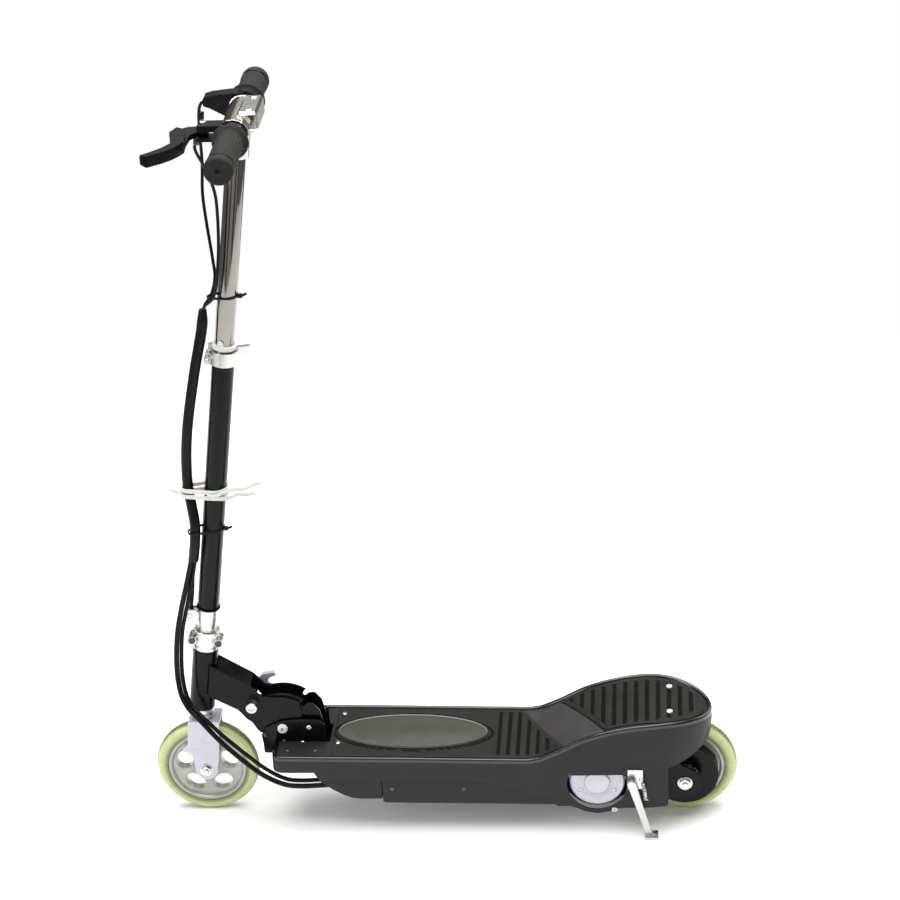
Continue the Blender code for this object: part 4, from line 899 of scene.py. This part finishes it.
def belt():
    """A toothed belt round both pulleys, drawn as a flat band without its teeth."""
    small, large = Vector((MOTOR.x, 0.0235, MOTOR.z)), Vector((REAR_AXLE.x, 0.0235, REAR_AXLE.z))
    small_r, large_r = 0.0062 + 0.0014, 0.0392 + 0.0014
    distance = (large - small).length
    heading = degrees(atan2(large.z - small.z, large.x - small.x))
    wrap = degrees(acos((small_r - large_r) / distance))
    corners = (arc((large.x, large.z), large_r, heading - wrap, heading + wrap, 120) + arc((small.x, small.z), small_r,
            heading + wrap, heading + 360 - wrap, 24))
    path = [Vector((x, 0.0235, z)) for x, z in corners]
    path = evenly(path + [path[0]], 0.0015)[:-1]
    section = mm((5.8, 1.1), (-5.8, 1.1), (-5.8, -1.1), (5.8, -1.1))
    obj = sweep("belt_band", path, section, "belt_rubber", "chassis", closed=True, side=Y, smooth=30)
    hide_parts("drive_belt")
    refined("motor_pulley", "zinc", 0.0003)


def evenly(path, spacing):
    """The same route with its points a fixed distance apart."""
    lengths = [0.0]
    for a, b in zip(path, path[1:]):
        lengths.append(lengths[-1] + (b - a).length)
    count = max(2, round(lengths[-1] / spacing))
    points, k = [], 0
    for step in range(count + 1):
        want = lengths[-1] * step / count
        while k < len(path) - 2 and lengths[k + 1] < want:
            k += 1
        span = max(1e-9, lengths[k + 1] - lengths[k])
        points.append(path[k].lerp(path[k + 1], (want - lengths[k]) / span))
    return points


def brake():
    refined("brake_band", "black_paint", 0.0004)
    refined("brake_arm", "black_paint", 0.0006)


# ---------------------------------------------------------------- fork, head and stem
def fork():
    refined("fork", "silver_paint", 0.001, 3)
    cup = mm((12.9, -7), (16, -7), (16.5, -6.2), (16.5, -1.6), (14.8, 0.6), (14.8, 4.2), (16.4, 5.8), (16.4, 6.8),
            (12.9, 6.8))
    obj = lathe("headset_cup", cup, stem_point(0.1575), STEM_UP, "zinc", "neck", 72)
    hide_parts("headset_lower_cup")


def head_tube():
    profile = mm((15.1, -45.9), (16.6, -45.9), (17, -45.4), (17, 45.4), (16.6, 45.9), (15.1, 45.9))
    obj = lathe("head_tube_turned", profile, stem_point(0.2105), STEM_UP, "black_paint", "neck", 96)
    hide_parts("head_tube")
    refined("neck_bracket", "black_paint", 0.0007, 3)


def stem():
    low, high = 0.3165, 0.679
    half = (high - low) / 2 / cos(LEAN)
    wall = [(0.0143, half - 0.0004), (0.0143, -half + 0.001), (0.0139, -half), (0.0136, -half),
            (0.0136, -half + 0.03), (0.0128, -half + 0.032), (0.0128, half), (0.0139, half)]
    obj = lathe("stem_tube_turned", wall, stem_point((low + high) / 2), STEM_UP, "black_paint", "steering", 96)
    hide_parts("stem_tube")
    middle = stem_point(0.3125)
    half = 0.0275 / cos(LEAN)
    sleeve = [(0.0099, half), (0.0132, half), (0.0134, half - 0.0005), (0.0134, -half + 0.0005), (0.0132, -half),
            (0.0099, -half)]
    obj = lathe("stem_sleeve_turned", sleeve, middle, STEM_UP, "zinc", "steering", 96)
    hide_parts("stem_sleeve")
    lip = mm((14.5, -1.2), (15.8, -1), (16, 0.2), (15.6, 1.2), (14.5, 1.2))
    lathe("stem_tube_lip", lip, stem_point(0.3185), STEM_UP, "black_paint", "steering", 72)
    lower_clamp()
    upper_clamp()


def lower_clamp():
    refined("lower_clamp", "zinc", 0.001, 3)
    middle = stem_point(0.2706)
    side_way = STEM_UP.cross(Y).normalized()
    for side, word in ((-1, "front"), (1, "rear")):
        for end, end_word in SIDES:
            at = middle - side_way * side * 0.0175 + Y * (end * 0.01 - 0.004)
            dome_screw(f"clamp_bolt_{word}_{end_word}", at, Y * end, 0.0048, "steering", "dark_steel", 0.0024)
    for z, name in ((0.2612, "low"), (0.28, "high")):
        ring = mm((16.6, -1.2), (17.8, -0.8), (17.8, 0.8), (16.6, 1.2))
        lathe(f"clamp_bead_{name}", ring, stem_point(z), STEM_UP, "zinc", "steering", 72)


def upper_clamp():
    refined("upper_clamp", "zinc", 0.0008, 3)
    refined("upper_clamp_lever", "zinc", 0.0016, 3)
    middle = stem_point(0.68)
    skewer = middle + spot(-19, 0, 0)
    hex_nut("upper_clamp_nut", skewer + Y * -0.0078, -Y, 0.0052, 0.004, "steering", "zinc", 0.5)
    rod = mm((0.4, 0), (2.4, 0), (2.4, 12), (0.4, 12))
    lathe("upper_clamp_skewer", rod, skewer + Y * 0.0068, Y, "zinc", "steering", 24, closed=False)
    # nylon guide bush between the tubes, with its tab on the rider's left
    ring = mm((12.4, -3), (15, -3), (15.6, -2), (15.2, 2.4), (14, 3.4), (12.4, 3.4))
    lathe("guide_bush", ring, stem_point(0.6955), STEM_UP, "nylon", "steering", 72)
    turn = Matrix.Translation(stem_point(0.701) + spot(-3, -13.8, 0)) @ SIDE_VIEW
    flat_shape("guide_bush_tab", [ellipse(0.004, 0.0058, 32)], 0.0024, turn, "nylon", "steering", 0.0007)


def knurled(ridges, beyond):
    """A shape for lathe: ridges along the axis on everything wider than a radius."""
    def shape(angle, reach, height):
        return reach - (0.0003 * (0.5 + 0.5 * cos(ridges * angle)) if reach > beyond else 0.0)
    return shape


# ---------------------------------------------------------------- folding joint
def fold_joint():
    refined("fold_bracket", "black_paint", 0.0009, 3)
    refined("sector_plate_left", "black_paint", 0.0006, 3)
    refined("sector_plate_right", "black_paint", 0.0006, 3)
    bolt = mm((0.4, 22.8), (3.9, 22.8), (3.9, -23.2), (0.4, -23.2))
    obj = lathe("fold_bolt_shank", bolt, PIVOT, Y, "zinc", "chassis", 40, closed=False)
    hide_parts("fold_pivot_bolt")
    dome_screw("fold_bolt_head", PIVOT + Y * -0.0216, -Y, 0.007, "chassis", "nylon", 0.004)
    hex_nut("fold_bolt_nut", PIVOT + Y * 0.0215, Y, 0.007, 0.0036, "chassis")
    for index, (x, z, radius) in enumerate(mm((-177, 141, 3.8), (-187, 116, 4), (-212, 119, 2.8), (-163, 114, 2.8),
            (-237, 129, 2.8))):
        for side, word in SIDES:
            dome_screw(f"base_bolt_{index}_{word}", (x, side * 0.0213, z), Y * side, radius, "chassis",
                    "zinc" if index < 2 else "dark_steel")
    refined("side_frame_left", "black_paint", 0.0006)
    refined("side_frame_right", "black_paint", 0.0006)
    refined("front_crossmember", "black_paint", 0.0004)


def latch():
    at = spot(-250.45, 0, 176.55)
    refined("latch_lever", "silver_paint", 0.0014, 3)
    pin = mm((0.4, 21.4), (2.4, 21.4), (2.4, -18), (7.6, -18.2), (7.8, -19), (7.8, -29.6), (7, -30.4), (3.6, -30.5),
            (3, -29), (0.4, -28.8))
    obj = lathe("latch_skewer_turned", pin, at, Y, "zinc", "latch", 180, closed=False, smooth=30,
            shape=knurled(30, 0.0077))
    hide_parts("latch_skewer")


# ---------------------------------------------------------------- kickstand, switch and socket
def kickstand():
    refined("kickstand_bracket", "zinc", 0.0008, 3)
    refined("kickstand_leg", "brushed_zinc", 0.0014, 3)
    start, end = spot(267.2, -71.2, 84.5), spot(270.6, -74.2, 60)
    along = (end - start).normalized()
    across = along.cross(Y).normalized()
    other = along.cross(across)
    turns, steps = 9, 18
    coil = []
    for k in range(turns * steps + 1):
        angle = 2 * pi * k / steps
        coil.append(start.lerp(end, k / (turns * steps)) + 0.0022 * (cos(angle) * across + sin(angle) * other))
    obj = sweep("kickstand_coil", coil, round_section(0.0008, 8), "zinc")
    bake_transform(obj)
    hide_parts("kickstand_spring")


def electrics():
    refined("power_rocker", "switch_red", 0.0012, 3)
    frame_outer = mm((11.8, 9), (-11.8, 9), (-11.8, -9), (11.8, -9))
    frame_inner = mm((8.3, 5.7), (-8.3, 5.7), (-8.3, -5.7), (8.3, -5.7))
    turn = Matrix.Translation((-0.02, DECK_HALF + 0.001, 0.101)) @ SIDE_VIEW
    flat_shape("switch_bezel", [frame_outer, frame_inner], 0.0018, turn, "black_plastic", "chassis", 0.0005)
    refined("charge_socket", "black_plastic", 0.0005)
    for index in range(3):
        angle = radians(90 + 120 * index)
        pin = mm((0.3, 0), (0.8, 0), (0.8, 2), (0.3, 2.4))
        at = Vector((0.025 + 0.0044 * cos(angle), DECK_HALF + 0.0024, 0.101 + 0.0044 * sin(angle)))
        lathe(f"charge_pin_{index}", pin, at, Y, "zinc", "chassis", 16, closed=False)


# ---------------------------------------------------------------- handlebar
def handlebar():
    low, high = 0.62, BAR.z - 0.012
    half = (high - low) / 2 / cos(LEAN)
    profile = [(0.011, half), (0.0121, half), (0.0123, half - 0.0004), (0.0123, -half + 0.0004), (0.0121, -half),
            (0.011, -half)]
    obj = lathe("riser_turned", profile, stem_point((low + high) / 2), STEM_UP, "chrome_tube_painted_shade", "handlebar", 128)
    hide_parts("riser_tube")
    profile = mm((9.8, 153.8), (10.9, 153.8), (11.1, 153.5), (11.1, -153.5), (10.9, -153.8), (9.8, -153.8))
    obj = lathe("handlebar_turned", profile, BAR, Y, "chrome", "handlebar", 96)
    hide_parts("handlebar_tube")
    refined("t_joint", "chrome", 0.0016, 3)
    for index, y in enumerate((-0.01, 0.034)):
        dome_screw(f"t_bolt_{index}", BAR + Vector((0.016, y, 0.0196)), (0, 0, 1), 0.0046, "handlebar", "zinc", 0.0024)
        hex_nut(f"t_nut_{index}", BAR + Vector((0.016, y, -0.0036)), (0, 0, -1), 0.005, 0.0034, "handlebar")
    groove = mm((17.4, -0.6), (18.2, -0.2), (18.2, 0.2), (17.4, 0.6))
    for index, y in enumerate((-0.0345, 0.0505)):
        lathe(f"t_bead_{index}", groove, BAR + Y * y, Y, "chrome", "handlebar", 72)
    grip("left_grip", -1, 0.061, "handlebar")
    grip("throttle_grip", 1, 0.079, "throttle")
    refined("brake_bracket", "black_paint", 0.0012, 3)
    refined("brake_lever", "black_paint", 0.0022, 4, 40)
    refined("throttle_housing", "black_plastic", 0.0016, 3)
    lever_trim()


def grip(node, side, inner, body):
    """A foam-rubber grip: a flared inner flange, fine lengthwise ribs, a smooth end band and a dimpled cap."""
    outer = 0.16
    length = outer - inner
    profile = mm((11.8, 0.2), (20.8, 0.2), (21.6, 0.8), (22.2, 2.2), (21.8, 4.2), (19.6, 5.6), (17.6, 7),
            (16.8, 8.6))
    ribs = 26
    first, last = 0.011, length - 0.0175
    profile += [(GRIP_R - 0.00002, first + (last - first) * k / ribs) for k in range(ribs + 1)]
    profile += [(GRIP_R - 0.0009, length - 0.0155), (GRIP_R - 0.0009, length - 0.0143), (0.0173, length - 0.0125),
            (0.0176, length - 0.009), (0.0176, length - 0.005), (0.0171, length - 0.0022), (0.016, length - 0.0008),
            (0.014, length - 0.0001), (0.005, length - 0.0001), (0.0036, length - 0.0006), (0.003, length - 0.0026),
            (0.0002, length - 0.003)]
    def fluted(angle, reach, height):
        if first < height < last:
            ease = min(1.0, (height - first) / 0.004, (last - height) / 0.004)
            return reach - 0.00045 * ease * (0.5 - 0.5 * cos(24 * angle))
        return reach
    obj = lathe(node + "_foam", profile, BAR + Y * side * inner, Y * side, "grip_foam", body, 192, closed=False,
            smooth=50, shape=fluted)
    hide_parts(node)
    ring = mm((16.6, -1.1), (17.5, -0.8), (17.5, 0.8), (16.6, 1.1))
    lathe(node + "_band", ring, BAR + Y * side * (outer - 0.015), Y * side, "rim_plastic", body, 96)


def lever_trim():
    """The lever's pivot screw, the cable adjuster and its lock nut."""
    pivot = BAR + spot(-34, -43, 13)
    dome_screw("lever_pivot_screw", pivot + spot(0, 0, 5.6), (0, 0, 1), 0.0042, "handlebar", "zinc", 0.0016)
    tip = spot(-248, -35, 976)
    barrel = mm((0.5, 0), (3.2, 0), (3.6, 0.8), (3.6, 6), (3, 6.8), (2.6, 10.5), (0.5, 10.5))
    lathe("brake_adjuster", barrel, tip + spot(0, 0, -3), (0.12, 0.05, 1.0), "dark_steel", "handlebar",
          64, closed=False, smooth=30, shape=knurled(16, 0.0034))
    barrel = mm((0.5, 0), (3, 0), (3.4, 1), (3.4, 9), (0.5, 10))
    lathe("throttle_boot", barrel, spot(-256, 56, 972), (0.1, 0.0, 1.0), "cable_sheath", "handlebar", 32, closed=False)


# ---------------------------------------------------------------- cables and ties
def strand(name, corners, radius, body=None, blend=None, replaces=()):
    """A round cable through the corners; it rides on one body, or, when given a blend, on none."""
    obj = sweep(name, smooth_path(corners, 0.004), round_section(radius), "cable_sheath", body)
    if blend:
        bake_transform(obj)
    if replaces:
        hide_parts(*replaces)


def cables():
    upper = ("steering", "handlebar", (-0.25, 0.0, 0.77), (-0.25, 0.0, 0.95))
    strand("throttle_cable", mm((-250, 65.5, 991.5), (-256, 64.5, 989.5), (-259, 60, 979), (-258.5, 49, 956),
            (-256, 34, 925), (-257, 22, 890), (-254, 13, 855), (-250, 8, 810), (-249, 6, 785), (-254.5, 2, 764),
            (-264, 3, 750), (-265.5, 2, 744)), 0.002, blend=upper, replaces=["throttle_wire"])
    strand("brake_cable", mm((-248, -35, 976), (-250, -34, 966), (-242, -26, 940), (-234.5, -20, 908),
            (-234, -17, 877), (-236.9, -16.5, 832), (-244, -15, 785), (-251, -11, 764), (-264, -3, 750),
            (-265.5, -1.5, 744)), 0.002, blend=upper, replaces=["brake_wire"])
    sleeve_path = smooth_path(mm((-267, 0, 744), (-271, 0, 717), (-283, -1, 669), (-292.5, -2, 627), (-301, -2, 585),
            (-307, -1, 542), (-309.2, -1, 499), (-306, -6, 470), (-303.5, -11, 445), (-306.2, -12, 418),
            (-311, -8, 393)), 0.004)
    obj = sweep("wire_sleeve", sleeve_path, round_section(0.0069, 24), "cable_sheath", "steering",
            scale=lambda t: 0.72 + 0.28 * min(1.0, t / 0.05))
    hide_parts("cable_sleeve")
    bend = ("steering", "neck", (-0.33, -0.01, 0.3), (-0.335, -0.032, 0.185))
    strand("harness_outer", mm((-313, -10, 395), (-322.5, -9, 360), (-333, -9, 323), (-342, -11, 285),
            (-346.2, -15, 250), (-346.5, -21, 220), (-342, -29, 196), (-333, -35, 179)), 0.0036, blend=bend,
            replaces=["cable_mid"])
    strand("harness_inner", mm((-308.5, -6, 395), (-316.5, -6, 360), (-326.2, -6, 323), (-336, -7, 285),
            (-340.2, -11, 250), (-340.8, -17, 220), (-336.5, -25, 196), (-329, -31, 180)), 0.0028, blend=bend)
    down = ("neck", "chassis", (-0.33, -0.035, 0.1765), (-0.22, -0.055, 0.085))
    strand("harness_low_outer", mm((-333, -35, 179), (-317, -41.5, 164), (-294.5, -47, 138), (-269, -51.5, 113.5),
            (-240, -54.5, 88.5), (-213, -56.5, 74.8), (-190, -57.5, 71.8), (-150, -57.5, 73.8)), 0.0034, blend=down,
            replaces=["cable_lower"])
    strand("harness_low_inner", mm((-329, -31, 180), (-312, -39, 166), (-289, -44, 142.5), (-263.5, -48, 119.5),
            (-236, -50.5, 95.5), (-211, -53, 81.5), (-190, -54, 78.5), (-154, -54, 80)), 0.0028, blend=down)
    strand("clip_lead", mm((-309, 1, 435), (-312, 1, 400), (-315, 0, 370), (-318.5, 0, 340), (-323, 0, 313)), 0.0024,
           "steering")
    cable_clip()
    ties()


def cable_clip():
    """The bent metal clip in front of the steel sleeve that holds the lead's end."""
    centre = spot(-322.5, 0, 307.5)
    outline = mm((-7.5, -8.5), (6, -8.5), (10, -5), (10, 5), (6, 8.5), (-7.5, 8.5), (-9.5, 6), (-9.5, -6))
    hole = circle((-0.002, 0.0), 0.0036, 20)
    for side, word in SIDES:
        turn = Matrix.Translation(centre + Y * side * 0.0062) @ SIDE_VIEW
        flat_shape(f"cable_clip_{word}", [outline, hole], 0.002, turn, "zinc", "steering", 0.0005)
    bar = mm((0.4, -7.5), (3, -7.5), (3.4, -6.8), (3.4, 6.8), (3, 7.5), (0.4, 7.5))
    lathe("cable_clip_pin", bar, centre + spot(-2, 0, 0), Y, "zinc", "steering", 32, closed=False)


def loop_round(first, second, radius_first, radius_second, count=14):
    """A closed loop round two upright round things, seen from above."""
    a, b = Vector(first), Vector(second)
    heading = atan2(b.y - a.y, b.x - a.x)
    points = []
    for k in range(count + 1):
        angle = heading + pi / 2 + pi * k / count
        points.append(a + Vector((radius_first * cos(angle), radius_first * sin(angle), 0.0)))
    for k in range(count + 1):
        angle = heading - pi / 2 + pi * k / count
        points.append(b + Vector((radius_second * cos(angle), radius_second * sin(angle), 0.0)))
    return evenly(points + [points[0]], 0.0025)[:-1]


def ties():
    # the white tie: two turns round the sleeve and the stem, and two loose tails toward the rider
    for index, z in enumerate((0.495, 0.487)):
        stem_at = stem_point(z)
        sleeve_at = Vector((-0.309, -0.0015, z))
        path = loop_round(sleeve_at, stem_at, 0.0088, 0.016)
        section = flat_strap(0.0056, 0.0024)
        sweep(f"white_tie_turn_{index}", path, section, "nylon", "steering", closed=True, side=UP)
    head = stem_point(0.4915) + spot(-2, -18, 0)
    section = flat_strap(0.005, 0.002)
    tails = [[head + Vector(step) for step in mm((-6, 1.5, 0), (4, -1, 0), (14, 3, 3.5), (26, 10, 4.5), (37, 16, 1),
            (50, 22, 4), (61, 26, 5))], [head + Vector(step) for step in mm((-6, 1.5, -3), (6, -0.5, -3.5),
            (18, 5, -6), (30, 12, -4), (40, 17, -7), (52, 22, -8))]]
    for index, tail in enumerate(tails):
        sweep(f"white_tie_tail_{index}", smooth_path(tail, 0.003), section, "nylon", "steering", side=UP)
    front = [spot(-317, -8, 493), spot(-324, -11, 495), spot(-330, -12, 499)]
    sweep("white_tie_end", smooth_path(front, 0.003), section, "nylon", "steering", side=UP)
    small_tie("lower_tie", spot(-305.2, -11.5, 437), stem_point(0.437), 0.0082, 0.015, (0.017, -0.004, 0.0))
    small_tie("riser_tie", spot(-253, -5, 763.5), stem_point(0.7635), 0.006, 0.0131, (0.016, -0.003, 0.0))


def small_tie(name, first, second, radius_first, radius_second, knob):
    """A narrow black tie with its locking head and cut tail."""
    section = flat_strap(0.0032, 0.0012)
    sweep(name, loop_round(first, second, radius_first, radius_second), section, "black_plastic", "steering",
          closed=True, side=UP)
    at = second + Vector(knob)
    outline = mm((-3, -2.6), (3, -2.6), (3, 2.6), (-3, 2.6))
    flat_shape(name + "_head", [outline], 0.0046, Matrix.Translation(at) @ SIDE_VIEW, "black_plastic", "steering",
            0.0008)
    tail = [at, at + spot(4, -1, 1), at + spot(8.5, 0, 3)]
    sweep(name + "_tail", smooth_path(tail, 0.002), section, "black_plastic", "steering", side=UP)


# ---------------------------------------------------------------- everything
make_materials()
camera()
studio()
wheels()
deck_shell()
mats()
badge()
deck_screws()
trays()
motor()
belt()
brake()
fork()
head_tube()
stem()
fold_joint()
latch()
kickstand()
electrics()
handlebar()
cables()
